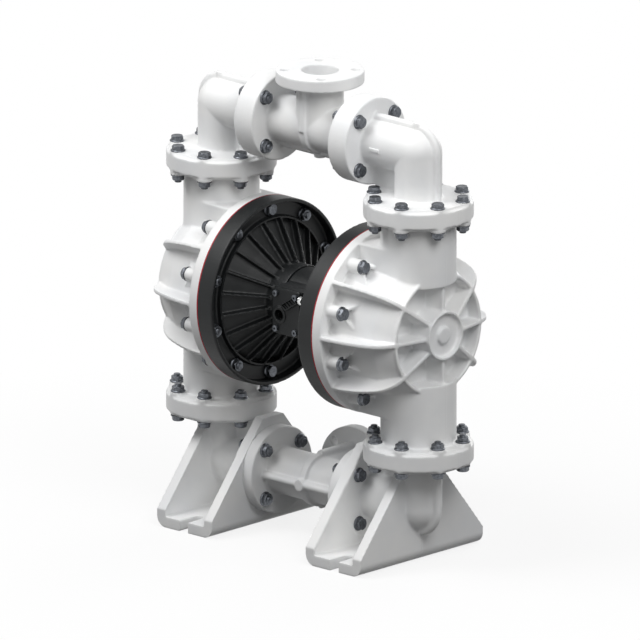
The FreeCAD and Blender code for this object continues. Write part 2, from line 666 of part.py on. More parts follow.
def cap_gussets(body):
    """Two short walls from every clamp boss to the dome."""
    first = around(bolts_per_clamp, 0)
    start = "(pocket_reach - root)"
    for name, side in (("Near", "-"), ("Far", "")):
        heading = f"({first} + 180 + ({side}gusset_spread))"
        corners = []
        for along, aside in (("0", "-1"), ("gusset_length", "-1"), ("gusset_length", "1"), ("0", "1")):
            offset = f"{aside} * gusset_thick / 2"
            across = f"{clamp_circle} * cos({first}) + {along} * cos({heading}) - {offset} * sin({heading})"
            rise = f"{clamp_circle} * sin({first}) + {along} * sin({heading}) + {offset} * cos({heading})"
            corners.append((across, rise))
        sketch = outline(body, name + "Gusset", "X", corners, offset=(start, "0", "0"))
        wall = pad(body, sketch, f"gusset_reach - {start}")
        walls = body.newObject("PartDesign::PolarPattern", name + "Gussets")
        walls.Originals = [wall]
        walls.Axis = (origin(body, "X_Axis"), [""])
        walls.Angle = turn
        walls.Occurrences = bolts_per_clamp
        body.Tip = walls


def cap_hollow(body):
    """Chamber on the diaphragm's side, and a valve bore at each end of the column."""
    floor = "ring_floor_reach - chamber_wall"
    profile = [
        (cap_face, "0"),
        (cap_face, "chamber_radius"),
        ("(cap_rim_face + dome_waist_reach) / 2", "chamber_radius"),
        ("dome_waist_reach - chamber_wall", "chamber_waist_radius"),
        (floor, "ring_radius - ring_thick - chamber_wall"),
        (floor, "0"),
    ]
    revolve(body, outline(body, "Chamber", "Z", profile), cut=True)
    passage = "column_cut_height + chamber_wall"
    for side, sign in (("Lower", "-"), ("Upper", "")):
        centre = ("column_offset", "0")
        start, end = sorted((f"{sign}valve_shoulder", f"{sign}cap_half_height"), key=size)
        drum(body, side + "Valve", "Z", "valve_bore", start, end, centre, cut=True)
        start, end = sorted((f"{sign}({passage})", f"{sign}cap_half_height"), key=size)
        drum(body, side + "Passage", "Z", "passage_bore", start, end, centre, cut=True)


def fluid_cap():
    """Ribbed pumping chamber, moulded in one with its valve column."""
    body = new_body("fluid_cap_right")
    cap_shell(body)
    cap_column(body)
    cap_flanges(body)
    cap_hollow(body)
    cap_joint_bosses(body)
    cap_clamp_bosses(body)
    cap_ribs(body)
    cap_gussets(body)
    place(body, z=shaft)
    return keep(body, "fluid_cap_right")


def air_cap():
    """Dished air chamber: a deep rim, a ledge for the nuts, and a fan of thin ribs."""
    body = new_body("air_cap_right")
    bore = "(rod_radius + rod_fit + bushing_wall)"
    inner_waist = "dish_waist_reach + air_floor"
    profile = [
        (air_face, "rim_radius"),
        ("air_rim_reach", "rim_radius"),
        ("air_rim_reach", "rim_radius - air_rim_wall"),
        ("air_ledge_reach", "rim_radius - air_rim_wall"),
        ("air_ledge_reach", "air_wall_radius"),
        ("air_wall_reach", "air_wall_radius"),
        ("air_wall_reach", "air_wall_radius - air_wall_thick"),
        ("dish_rim_reach", "air_wall_radius - air_wall_thick"),
        ("dish_waist_reach", "dish_waist_radius"),
        ("dish_hub_reach", "collar_radius"),
        ("centre_half", "collar_radius"),
        ("centre_half", bore),
        (inner_waist, bore),
        (inner_waist, "dish_waist_radius"),
        ("dish_rim_reach + air_floor", "chamber_radius"),
        (air_face, "chamber_radius"),
    ]
    revolve(body, outline(body, "AirProfile", "Z", profile))
    rib = [
        ("air_wall_reach", "air_wall_radius - air_wall_thick / 2"),
        ("collar_rib_reach", "collar_radius - lap"),
        ("dish_hub_reach + lap", "collar_radius - lap"),
        ("dish_waist_reach + lap", "dish_waist_radius"),
        ("dish_rim_reach + lap", "air_wall_radius - air_wall_thick / 2"),
    ]
    half_step = turn / size("air_ribs") / 2
    sketch = outline(body, "AirRib", "Z", rib, tilt=Rotation(Vector(1, 0, 0), half_step))
    blade = pad(body, sketch, "air_rib_thick", middle=True)
    fan = body.newObject("PartDesign::PolarPattern", "AirRibs")
    fan.Originals = [blade]
    fan.Axis = (origin(body, "X_Axis"), [""])
    fan.Angle = turn
    bind(fan, Occurrences="air_ribs")
    body.Tip = fan
    pilot = ("0", "pilot_offset")
    drum(body, "PilotBore", "X", "pilot_radius + pilot_fit", "centre_half", inner_waist, pilot, cut=True)
    place(body, z=shaft)
    return keep(body, "air_cap_right")


def centre_body():
    """Barrel between the air caps, with a face for the air valve and an exhaust boss."""
    body = new_body("center_body")
    drum(body, "Barrel", "X", "centre_radius", "-centre_half", "centre_half")
    low = ("-pad_half_width", "-pad_reach", "-pad_half_height")
    slab(body, "ValveFace", low, ("pad_half_width", "0", "pad_half_height"))
    drum(body, "ExhaustBoss", "Y", "exhaust_boss", "0", "exhaust_reach")
    drum(body, "ShaftBore", "X", "rod_radius + bushing_wall", "-centre_half", "centre_half", cut=True)
    bore = "pilot_radius + pilot_fit"
    drum(body, "PilotBore", "X", bore, "-centre_half", "centre_half", ("0", "pilot_offset"), cut=True)
    start = "exhaust_reach - muffler_neck"
    drum(body, "Exhaust", "Y", "exhaust_bore", start, "exhaust_reach", cut=True)
    place(body, z=shaft)
    return keep(body, "center_body")


def valve_gasket():
    body = new_body("valve_gasket")
    front = "-pad_reach - gasket_thick"
    low = ("-pad_half_width", front, "-pad_half_height")
    slab(body, "Gasket", low, ("pad_half_width", "-pad_reach", "pad_half_height"))
    place(body, z=shaft)
    return keep(body, "valve_gasket")


def valve_block():
    """Air valve block with the spool bore through it and the air inlet in its front."""
    body = new_body("valve_block")
    back = "-pad_reach - gasket_thick"
    front = f"{back} - block_depth"
    low = ("-pad_half_width", front, "-pad_half_height")
    slab(body, "Block", low, ("pad_half_width", back, "pad_half_height"))
    across = (f"{back} - block_depth / 2", "spool_height")
    drum(body, "SpoolBore", "X", "spool_bore", "-pad_half_width", "pad_half_width", across, cut=True)
    inlet = ("-inlet_side", "-inlet_drop")
    end = f"{front} + air_inlet_depth - cover_depth"
    drum(body, "AirInlet", "Y", "air_inlet_bore", front, end, inlet, cut=True)
    place(body, z=shaft)
    return keep(body, "valve_block")


def valve_cover():
    """Cover of the air valve with its four eared corners and the air inlet's boss."""
    body = new_body("valve_cover")
    back = "-pad_reach - gasket_thick - block_depth"
    front = f"{back} - cover_depth"
    ear = "screw_head_radius + cap_rib_thick / 2"
    low = ("-screw_half_width", front, f"-screw_half_height - ({ear})")
    high = ("screw_half_width", back, f"screw_half_height + ({ear})")
    slab(body, "Plate", low, high)
    low = (f"-screw_half_width - ({ear})", front, "-screw_half_height")
    high = (f"screw_half_width + ({ear})", back, "screw_half_height")
    slab(body, "Sides", low, high)
    for x in ("-screw_half_width", "screw_half_width"):
        for z in ("-screw_half_height", "screw_half_height"):
            drum(body, "Ear", "Y", ear, front, back, (x, z))
    inlet = ("-inlet_side", "-inlet_drop")
    drum(body, "InletBoss", "Y", "air_inlet_boss", f"{front} - cover_depth / 2", back, inlet)
    drum(body, "AirInlet", "Y", "air_inlet_bore", f"{front} - cover_depth / 2", back, inlet, cut=True)
    place(body, z=shaft)
    return keep(body, "valve_cover")


def spool():
    """Spool with two grooves that shift the air from one chamber to the other."""
    body = new_body("valve_spool")
    land = "(spool_bore - spool_fit)"
    waist = f"({land} - spool_groove)"
    profile = [
        ("-spool_half", "0"),
        ("-spool_half", land),
        ("-spool_half * 2 / 3", land),
        ("-spool_half * 2 / 3", waist),
        ("-spool_half / 6", waist),
        ("-spool_half / 6", land),
        ("spool_half / 6", land),
        ("spool_half / 6", waist),
        ("spool_half * 2 / 3", waist),
        ("spool_half * 2 / 3", land),
        ("spool_half", land),
        ("spool_half", "0"),
    ]
    revolve(body, outline(body, "SpoolProfile", "Z", profile))
    place(body, y=spool_y, z=f"{shaft} + spool_height")
    return keep(body, "valve_spool")


def spool_plug(side, sign):
    """Threaded plug that closes one end of the spool bore, with a hexagon head."""
    body = new_body("spool_plug_" + side)
    start, end = sorted((f"{sign}(pad_half_width - spool_plug_length)", f"{sign}pad_half_width"), key=size)
    drum(body, side + "Plug", "X", "spool_bore", start, end)
    corners = [(f"spool_bore * cos({60 * k})", f"spool_bore * sin({60 * k})") for k in range(6)]
    offset = (f"{sign}pad_half_width", "0", "0")
    sketch = outline(body, side + "PlugHead", "X", corners, offset=offset)
    pad(body, sketch, "spool_plug_head", reverse=sign == "-")
    place(body, y=spool_y, z=f"{shaft} + spool_height")
    return keep(body, "spool_plug_" + side)


def muffler():
    """Exhaust muffler: a neck in the port, a drum and a domed end."""
    body = new_body("muffler")
    port = "exhaust_reach"
    end = "exhaust_reach + muffler_length"
    profile = [
        ("0", f"{port} - muffler_neck"),
        ("exhaust_bore", f"{port} - muffler_neck"),
        ("exhaust_bore", f"{port} + muffler_neck / 2"),
        ("muffler_radius", f"{port} + muffler_neck"),
        ("muffler_radius", f"{end} - muffler_neck"),
        ("muffler_radius / 2", end, "muffler_neck", -1),
        ("0", end),
    ]
    revolve(body, outline(body, "MufflerProfile", "Z", profile), axis="V_Axis")
    place(body, z=shaft)
    return keep(body, "muffler")


def turned(label, profile, x="0", z=shaft):
    """A sub-part turned about the shaft axis."""
    body = new_body(label)
    revolve(body, outline(body, label + "Profile", "Z", profile))
    place(body, x=x, z=z)
    return keep(body, label)


def rod():
    half = f"({cap_face} + outer_plate_hub + shaft_nut_height + shaft_end)"
    chamfer = "rod_radius / 7"
    return turned(
        "diaphragm_rod",
        [
            (f"-{half}", "0"),
            (f"-{half}", f"rod_radius - {chamfer}"),
            (f"-{half} + {chamfer}", "rod_radius"),
            (f"{half} - {chamfer}", "rod_radius"),
            (half, f"rod_radius - {chamfer}"),
            (half, "0"),
        ],
    )


def sleeve(label, start, length):
    """Bushing or seal that lines the air cap's bore round the shaft."""
    bore = "rod_radius + rod_fit"
    outer = "rod_radius + rod_fit + bushing_wall"
    end = f"{start} + {length}"
    return turned(label, [(start, bore), (start, outer), (end, outer), (end, bore)])


def diaphragm():
    """Rubber diaphragm: flat rim and middle with a roll moulded between them."""
    hole = "rod_radius + rod_fit"
    inner = "roll_circle - roll_half"
    outer = "roll_circle + roll_half"
    return turned(
        "diaphragm_right",
        [
            (air_face, hole),
            (air_face, inner),
            (air_face, outer, "roll_radius", -1),
            (air_face, "rim_radius"),
            (cap_face, "rim_radius"),
            (cap_face, outer),
            (cap_face, inner, "roll_radius", 1),
            (cap_face, hole),
        ],
    )


def inner_plate():
    """Plate that backs the diaphragm on its air side."""
    back = f"{air_face} - inner_plate_hub"
    return turned(
        "inner_plate_right",
        [
            (back, "rod_radius"),
            (back, "plate_hub_radius"),
            (f"{air_face} - inner_plate_edge", "inner_plate_radius - inner_plate_hub"),
            (f"{air_face} - inner_plate_edge", "inner_plate_radius"),
            (air_face, "inner_plate_radius"),
            (air_face, "rod_radius"),
        ],
    )


def outer_plate():
    """Domed plate that backs the diaphragm on its fluid side."""
    front = f"{cap_face} + outer_plate_hub"
    return turned(
        "outer_plate_right",
        [
            (cap_face, "rod_radius"),
            (cap_face, "outer_plate_radius"),
            (f"{cap_face} + outer_plate_edge", "outer_plate_radius"),
            (front, "plate_hub_radius", "outer_plate_radius", -1),
            (front, "rod_radius"),
        ],
    )


def shaft_nut():
    """Nut that holds both plates against the diaphragm."""
    body = new_body("shaft_nut_right")
    start = f"{cap_face} + outer_plate_hub"
    reach = "shaft_nut_flats / 2 / cos(30)"
    corners = [(f"{reach} * cos({60 * k})", f"{reach} * sin({60 * k})") for k in range(6)]
    sketch = outline(body, "NutHexagon", "X", corners, offset=(start, "0", "0"))
    pad(body, sketch, "shaft_nut_height")
    drum(body, "NutBore", "X", "rod_radius", start, f"{start} + shaft_nut_height", cut=True)
    place(body, z=shaft)
    return keep(body, "shaft_nut_right")


def pilot_rod():
    """Rod that each plate pushes at the end of its stroke to signal the air valve."""
    half = "dish_waist_reach + air_floor + pilot_proud"
    pilot = doc.addObject("Part::Cylinder", "pilot_rod")
    bind(pilot, Radius="pilot_radius", Height=f"2 * ({half})")
    place(pilot, x=f"-({half})", z=f"{shaft} + pilot_offset", rotation=Rotation(Vector(0, 1, 0), 90))
    return keep(pilot, "pilot_rod")


valve_places = {
    "inlet_left": ("-column_offset", low_joint),
    "inlet_right": ("column_offset", low_joint),
    "outlet_left": ("-column_offset", f"({shaft} + valve_shoulder)"),
    "outlet_right": ("column_offset", f"({shaft} + valve_shoulder)"),
}


def ball(name, x, z):
    thing = doc.addObject("Part::Sphere", "ball_" + name)
    bind(thing, Radius="ball_radius")
    place(thing, x=x, z=f"{z} + {ball_rise}")
    return keep(thing, "ball_" + name)


def seat(name, x, z):
    """Ring that the ball rests on, bevelled round its bore."""
    body = new_body("seat_" + name)
    outer = "valve_bore - valve_fit"
    profile = [
        ("seat_bore", "0"),
        (outer, "0"),
        (outer, "seat_thick"),
        ("seat_bore + seat_lip", "seat_thick"),
        ("seat_bore", "seat_thick - seat_lip"),
    ]
    revolve(body, outline(body, "SeatProfile", "Y", profile), axis="V_Axis")
    place(body, x=x, z=z)
    return keep(body, "seat_" + name)


def cage(name, x, z):
    """Cage over a ball: four legs on the seat, a ring on top and a cross that stops the ball."""
    body = new_body("cage_" + name)
    outer = "(valve_bore - valve_fit)"
    top = f"({cage_height} - cage_top)"
    drum(body, "CageRing", "Z", outer, top, cage_height)
    drum(body, "CageOpen", "Z", f"{outer} - cage_wall", top, cage_height, cut=True)
    half = "cage_bar / 2"
    reach = f"({outer} - cage_wall / 4)"
    inner = "(ball_radius + leg_clearance)"
    slab(body, "BarX", (f"-{reach}", f"-{half}", top), (reach, half, cage_height))
    slab(body, "BarY", (f"-{half}", f"-{reach}", top), (half, reach, cage_height))
    slab(body, "LegRight", (inner, f"-{half}", "0"), (reach, half, cage_height))
    slab(body, "LegLeft", (f"-{reach}", f"-{half}", "0"), (f"-{inner}", half, cage_height))
    slab(body, "LegBack", (f"-{half}", inner, "0"), (half, reach, cage_height))
    slab(body, "LegFront", (f"-{half}", f"-{reach}", "0"), (half, f"-{inner}", cage_height))
    place(body, x=x, z=f"{z} + seat_thick")
    return keep(body, "cage_" + name)


def hexagon(flats, height):
    """Six-sided bar on the horizontal plane, growing upwards."""
    reach = flats / 2 / math.cos(math.pi / 6)
    corners = [Rotation(Vector(0, 0, 1), 60 * k).multVec(Vector(reach, 0, 0)) for k in range(7)]
    return Part.Face(Part.makePolygon(corners)).extrude(Vector(0, 0, height))


def bolt_head():
    return hexagon(size("bolt_flats"), size("bolt_head_height"))


def nut():
    """Nut with the end of its bolt standing out of it."""
    height = size("bolt_head_height")
    end = hexagon(2 * size("bolt_radius"), height + size("stud_proud"))
    return hexagon(size("bolt_flats"), height).fuse(end).removeSplitter()


def group(label, piece, spots):
    """Identical fasteners: a copy of one piece at each spot, pointing along its direction."""
    copies = []
    for point, direction in spots:
        copy = piece.copy()
        copy.Placement = Placement(point, Rotation(Vector(0, 0, 1), direction))
        copies.append(copy)
    thing = doc.addObject("Part::Feature", label)
    thing.Shape = Part.makeCompound(copies)
    return keep(thing, label)


def joint_ring(height, direction):
    """Spots of the bolts round both columns, at one height."""
    spots = []
    for side in (-1, 1):
        for index in range(bolts_per_joint):
            turned_by = Rotation(Vector(0, 0, 1), around(bolts_per_joint, index))
            arm = turned_by.multVec(Vector(size("column_bolt_circle"), 0, 0))
            centre = Vector(side * size("column_offset"), 0, size(height))
            spots.append((centre + arm, Vector(0, 0, direction)))
    return spots


def port_ring(reach, direction):
    """Spots of the bolts of the four manifold joints, on the side that reach gives."""
    spots = []
    for side in (-1, 1):
        for height in ("inlet_height", outlet_axis):
            for index in range(bolts_per_port):
                turned_by = Rotation(Vector(1, 0, 0), around(bolts_per_port, index))
                arm = turned_by.multVec(Vector(0, size("port_bolt_circle"), 0))
                centre = Vector(side * size(reach), 0, size(height))
                spots.append((centre + arm, Vector(side * direction, 0, 0)))
    return spots


def clamp_ring(reach, direction, upright):
    """Spots of the clamp bolts of both chambers; upright picks the top and bottom pair."""
    spots = []
    for side in (-1, 1):
        for index in range(bolts_per_clamp):
            angle = around(bolts_per_clamp, index)
            if (angle % 180 == 90) != upright:
                continue
            arm = Rotation(Vector(1, 0, 0), angle).multVec(Vector(0, size(clamp_circle), 0))
            centre = Vector(side * size(reach), 0, size(shaft))
            spots.append((centre + arm, Vector(side * direction, 0, 0)))
    return spots


def cover_screws():
    """Screws at the four corners of the air valve's cover."""
    front = -size("pad_reach + gasket_thick + block_depth + cover_depth")
    head = Part.makeCylinder(size("screw_head_radius"), size("screw_head_height"))
    spots = []
    for x in (-1, 1):
        for z in (-1, 1):
            side = x * size("screw_half_width")
            rise = size(shaft) + z * size("screw_half_height")
            spots.append((Vector(side, front, rise), Vector(0, -1, 0)))
    return group("valve_screws", head, spots)


def fasteners():
    plate = f"{high_joint} + column_flange_thick + elbow_plate_thick"
    group("upper_joint_bolts", bolt_head(), joint_ring(plate, 1))
    group("upper_joint_nuts", nut(), joint_ring(f"{high_joint} - column_flange_thick - cap_boss_height", -1))
    group("lower_joint_nuts", nut(), joint_ring(f"{low_joint} + column_flange_thick + cap_boss_height", 1))
    plate = f"{low_joint} - column_flange_thick - elbow_plate_thick"
    group("lower_joint_bolts", bolt_head(), joint_ring(plate, -1))
    group("manifold_bolts", bolt_head(), port_ring("tee_half + port_flange_thick", 1))
    group("manifold_nuts", nut(), port_ring("tee_half - port_flange_thick", -1))
    group("clamp_bolts", bolt_head(), clamp_ring("clamp_boss_reach", 1, False))
    group("clamp_nuts", nut(), clamp_ring("air_ledge_reach", -1, False))
    group("clamp_cap_screws", bolt_head(), clamp_ring("air_ledge_reach", -1, True))
    cover_screws()


def manifolds():
    outlet = tee("outlet_tee")
    place(outlet, z=outlet_axis)
    keep(outlet, "outlet_tee")
    inlet = tee("inlet_tee")
    # The inlet's neck lies to the back.
    place(inlet, z="inlet_height", rotation=Rotation(Vector(1, 0, 0), -90))
    keep(inlet, "inlet_tee")


def check(thing):
    """Stop if an object failed or holds no sound solid."""
    shape = thing.Shape
    if shape.isNull() or not shape.isValid() or not shape.Solids:
        raise ValueError(f"{thing.Label} has no valid solid")


manifolds()
mirrored(outlet_elbow(), "outlet_elbow_left")
mirrored(foot_elbow(), "foot_elbow_left")
mirrored(fluid_cap(), "fluid_cap_left")
mirrored(air_cap(), "air_cap_left")
centre_body()
valve_gasket()
valve_block()
valve_cover()
spool()
spool_plug("left", "-")
spool_plug("right", "")
muffler()
rod()
mirrored(sleeve("bushing_right", "centre_half", "bushing_length"), "bushing_left")
mirrored(sleeve("shaft_seal_right", "centre_half + bushing_length", "bushing_wall"), "shaft_seal_left")
mirrored(diaphragm(), "diaphragm_left")
mirrored(inner_plate(), "inner_plate_left")
mirrored(outer_plate(), "outer_plate_left")
mirrored(shaft_nut(), "shaft_nut_left")
pilot_rod()
for name, (x, z) in valve_places.items():
    ball(name, x, z)
    seat(name, x, z)
    cage(name, x, z)
fasteners()
doc.recompute()

for thing in doc.Objects:
    if "Invalid" in thing.State or "Error" in thing.State:
        raise ValueError(f"{thing.Label} failed: {thing.State}")
os.makedirs("parts", exist_ok=True)
for thing in sub_parts:
    check(thing)
for thing in sub_parts:
    thing.Shape.exportStep(f"parts/{thing.Label}.step")
print(len(sub_parts), "sub-parts written")
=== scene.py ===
import json
import math

import bpy
from mathutils import Matrix, Vector


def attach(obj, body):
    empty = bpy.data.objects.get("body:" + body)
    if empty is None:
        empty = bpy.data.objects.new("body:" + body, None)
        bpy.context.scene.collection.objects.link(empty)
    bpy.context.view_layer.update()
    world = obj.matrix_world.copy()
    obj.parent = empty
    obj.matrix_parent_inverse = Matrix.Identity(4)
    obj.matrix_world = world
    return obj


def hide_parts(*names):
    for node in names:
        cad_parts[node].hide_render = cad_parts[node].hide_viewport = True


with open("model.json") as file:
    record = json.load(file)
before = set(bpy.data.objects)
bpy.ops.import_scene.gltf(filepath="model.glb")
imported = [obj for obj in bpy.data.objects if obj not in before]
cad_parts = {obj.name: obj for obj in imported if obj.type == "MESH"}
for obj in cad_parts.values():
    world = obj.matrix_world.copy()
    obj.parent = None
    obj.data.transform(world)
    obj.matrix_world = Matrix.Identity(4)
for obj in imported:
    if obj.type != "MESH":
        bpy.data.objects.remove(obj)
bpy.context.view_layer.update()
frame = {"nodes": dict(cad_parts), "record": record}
nodes = frame["nodes"]
millimetre = 0.001

print("Camera, floor and light")

cameraView = {
    "aim": (0, 0, 0.4761),   # what stands in the middle of the picture
    "azimuth": 43.5,         # degrees from straight in front towards +X
    "elevation": 16,         # degrees above the floor
    "width": 1.367,          # metres across the picture, which has no perspective
    "distance": 5,
    "clipEnd": 50,
}

azimuth = math.radians(cameraView["azimuth"])
elevation = math.radians(cameraView["elevation"])
towardsCamera = Vector((
    math.sin(azimuth) * math.cos(elevation),
    -math.cos(azimuth) * math.cos(elevation),
    math.sin(elevation),
))
cameraData = bpy.data.cameras.new("camera")
cameraData.type = "ORTHO"
cameraData.ortho_scale = cameraView["width"]
cameraData.clip_end = cameraView["clipEnd"]
camera = bpy.data.objects.new("camera", cameraData)
camera.location = Vector(cameraView["aim"]) + towardsCamera * cameraView["distance"]
camera.rotation_euler = (-towardsCamera).to_track_quat("-Z", "Y").to_euler()
bpy.context.scene.collection.objects.link(camera)
bpy.context.scene.camera = camera
bpy.context.scene.view_settings.view_transform = "Standard"


def linearColour(hexText):
    # sRGB hex to the linear values that a shader takes
    parts = [int(hexText[i:i + 2], 16) / 255 for i in (1, 3, 5)]
    return [p / 12.92 if p <= 0.04045 else ((p + 0.055) / 1.055) ** 2.4 for p in parts] + [1]


def addNode(tree, kind, settings=None, links=None):
    node = tree.nodes.new(kind)
    for name, value in (settings or {}).items():
        if name in node.inputs:
            node.inputs[name].default_value = value
        else:
            setattr(node, name, value)
    for name, socket in (links or {}).items():
        tree.links.new(socket, node.inputs[name])
    return node


def clearSelection():
    if bpy.context.object and bpy.context.object.mode != "OBJECT":
        bpy.ops.object.mode_set(mode="OBJECT")
    bpy.ops.object.select_all(action="DESELECT")


studio = {
    "floorColour": "#F2F2F2",
    "floorBounce": "#444444",    # what the floor sends back up onto the object
    "floorGlow": 0.84,           # share of the floor by the object that shows as plain white
    "shadowStart": 0.5,          # metres from the middle where the shadow starts to fade
    "shadowEnd": 1.4,
    "floorWidth": 16,
    "floorDrop": 0.0005,         # how far it lies below the feet
    "worldColour": "#FFFFFF",
    "worldStrength": 0.30,       # light from all round
    # soft boxes: width in metres, power in watts, and the spot they stand at
    "softBoxes": {
        "high_soft_box": (2.0, 88, (-1.4, -1.8, 3.6)),
        "side_soft_box": (1.8, 70, (2.7, -1.0, 3.2)),
        "back_soft_box": (1.8, 44, (-0.8, 3.6, 1.7)),
    },
}


def seenDirectly(tree):
    # 1 where the camera, a gloss or a clear surface looks at it, 0 for light that it gives the object
    path = addNode(tree, "ShaderNodeLightPath")
    gloss = addNode(tree, "ShaderNodeMath", {"operation": "MAXIMUM"})
    tree.links.new(path.outputs["Is Camera Ray"], gloss.inputs[0])
    tree.links.new(path.outputs["Is Glossy Ray"], gloss.inputs[1])
    clear = addNode(tree, "ShaderNodeMath", {"operation": "MAXIMUM"})
    tree.links.new(gloss.outputs[0], clear.inputs[0])
    tree.links.new(path.outputs["Is Transmission Ray"], clear.inputs[1])
    return clear.outputs[0]


world = bpy.data.worlds.new("studio")
bpy.context.scene.world = world
world.use_nodes = True
worldTree = world.node_tree
worldTree.nodes.clear()
roomLight = addNode(worldTree, "ShaderNodeBackground",
                    {"Color": linearColour(studio["worldColour"]), "Strength": studio["worldStrength"]})
plainWhite = addNode(worldTree, "ShaderNodeBackground", {"Strength": 1.0, "Color": (1, 1, 1, 1)})
worldMix = addNode(worldTree, "ShaderNodeMixShader", None, {"Fac": seenDirectly(worldTree)})
worldTree.links.new(roomLight.outputs[0], worldMix.inputs[1])
worldTree.links.new(plainWhite.outputs[0], worldMix.inputs[2])
addNode(worldTree, "ShaderNodeOutputWorld", None, {"Surface": worldMix.outputs[0]})

clearSelection()
bpy.ops.mesh.primitive_plane_add(size=studio["floorWidth"], location=(0, 0, -studio["floorDrop"]))
floor = bpy.context.object
floor.name = "floor"
floorMaterial = bpy.data.materials.new("matt_white_floor")
floorMaterial.use_nodes = True
floorTree = floorMaterial.node_tree
floorTree.nodes.clear()
floorSeen = seenDirectly(floorTree)
floorPaint = addNode(floorTree, "ShaderNodeBsdfDiffuse", {"Color": linearColour(studio["floorColour"])})
floorBounce = addNode(floorTree, "ShaderNodeBsdfDiffuse", {"Color": linearColour(studio["floorBounce"])})
floorWhite = addNode(floorTree, "ShaderNodeEmission", {"Color": (1, 1, 1, 1), "Strength": 1.0})
floorPlace = addNode(floorTree, "ShaderNodeTexCoord").outputs["Object"]
floorReach = addNode(floorTree, "ShaderNodeVectorMath", {"operation": "LENGTH"})
floorTree.links.new(floorPlace, floorReach.inputs[0])
floorShare = addNode(floorTree, "ShaderNodeMapRange", {
    "From Min": studio["shadowStart"], "From Max": studio["shadowEnd"],
    "To Min": studio["floorGlow"], "To Max": 1.0}, {"Value": floorReach.outputs["Value"]})
floorLit = addNode(floorTree, "ShaderNodeMixShader", None, {"Fac": floorShare.outputs["Result"]})
floorTree.links.new(floorPaint.outputs[0], floorLit.inputs[1])
floorTree.links.new(floorWhite.outputs[0], floorLit.inputs[2])
floorMix = addNode(floorTree, "ShaderNodeMixShader", None, {"Fac": floorSeen})
floorTree.links.new(floorBounce.outputs[0], floorMix.inputs[1])
floorTree.links.new(floorLit.outputs[0], floorMix.inputs[2])
addNode(floorTree, "ShaderNodeOutputMaterial", None, {"Surface": floorMix.outputs[0]})
floor.data.materials.append(floorMaterial)

for lampName, (lampWidth, lampPower, lampSpot) in studio["softBoxes"].items():
    lampData = bpy.data.lights.new(lampName, "AREA")
    lampData.shape = "SQUARE"
    lampData.size = lampWidth
    lampData.energy = lampPower
    lamp = bpy.data.objects.new(lampName, lampData)
    lamp.location = lampSpot
    lamp.rotation_euler = (Vector(cameraView["aim"]) - lamp.location).to_track_quat("-Z", "Y").to_euler()
    bpy.context.scene.collection.objects.link(lamp)


print("Materials")


def plainMaterial(name):
    material = bpy.data.materials.new(name)
    material.use_nodes = True
    tree = material.node_tree
    shader = tree.nodes["Principled BSDF"]
    place = addNode(tree, "ShaderNodeTexCoord").outputs["Object"]
    return material, tree, shader, place


def noiseOf(tree, place, grain, detail=3.0):
    # Noise whose patches are about that many millimetres across
    scale = 1 / (grain * millimetre)
    return addNode(tree, "ShaderNodeTexNoise", {"Scale": scale, "Detail": detail}, {"Vector": place})


def rampOf(tree, source, stops):
    ramp = addNode(tree, "ShaderNodeValToRGB", None, {"Fac": source})
    points = ramp.color_ramp.elements
    for index, (position, colour) in enumerate(stops):
        point = points[index] if index < 2 else points.new(position)
        point.position = position
        point.color = linearColour(colour) if isinstance(colour, str) else (colour, colour, colour, 1)
    return ramp.outputs["Color"]


def partingLine(tree, place, width):
    # 1 on the plane where the two halves of the mould met, falling to 0 at its sides
    parts = addNode(tree, "ShaderNodeSeparateXYZ", None, {"Vector": place})
    away = addNode(tree, "ShaderNodeMath", {"operation": "ABSOLUTE"})
    tree.links.new(parts.outputs["Y"], away.inputs[0])
    line = addNode(tree, "ShaderNodeMapRange", {"From Min": 0.0, "From Max": width * millimetre,
                                                "To Min": 1.0, "To Max": 0.0}, {"Value": away.outputs[0]})
    return line.outputs["Result"]


relief = {
    "wave": 1.0,             # millimetres that each pattern stands out at full strength
    "grain": 0.3,
    "line": 0.5,
    "index": 1.49,           # refractive index, that of polypropylene
}


def mouldedPlastic(name, look):
    # Injection moulded polypropylene: satin, a touch uneven in shade, with the fine grain of the mould
    material, tree, shader, place = plainMaterial(name)
    drift = noiseOf(tree, place, look["driftSize"])
    shade = rampOf(tree, drift.outputs["Fac"], look["shades"])
    tree.links.new(shade, shader.inputs["Base Color"])
    grain = noiseOf(tree, place, look["grainSize"], 4.0)
    sheen = rampOf(tree, grain.outputs["Fac"], look["roughness"])
    tree.links.new(sheen, shader.inputs["Roughness"])
    waves = noiseOf(tree, place, look["waveSize"], 1.0)
    surface = addNode(tree, "ShaderNodeBump",
                      {"Strength": look["waveStrength"], "Distance": relief["wave"] * millimetre},
                      {"Height": waves.outputs["Fac"]})
    surface = addNode(tree, "ShaderNodeBump",
                      {"Strength": look["grainStrength"], "Distance": relief["grain"] * millimetre},
                      {"Height": grain.outputs["Fac"], "Normal": surface.outputs["Normal"]})
    if look["lineWidth"]:
        line = partingLine(tree, place, look["lineWidth"])
        surface = addNode(tree, "ShaderNodeBump",
                          {"Strength": look["lineStrength"], "Distance": relief["line"] * millimetre},
                          {"Height": line, "Normal": surface.outputs["Normal"]})
    tree.links.new(surface.outputs["Normal"], shader.inputs["Normal"])
    shader.inputs["IOR"].default_value = relief["index"]
    shader.inputs["Specular IOR Level"].default_value = look.get("specular", 0.5)
    return material


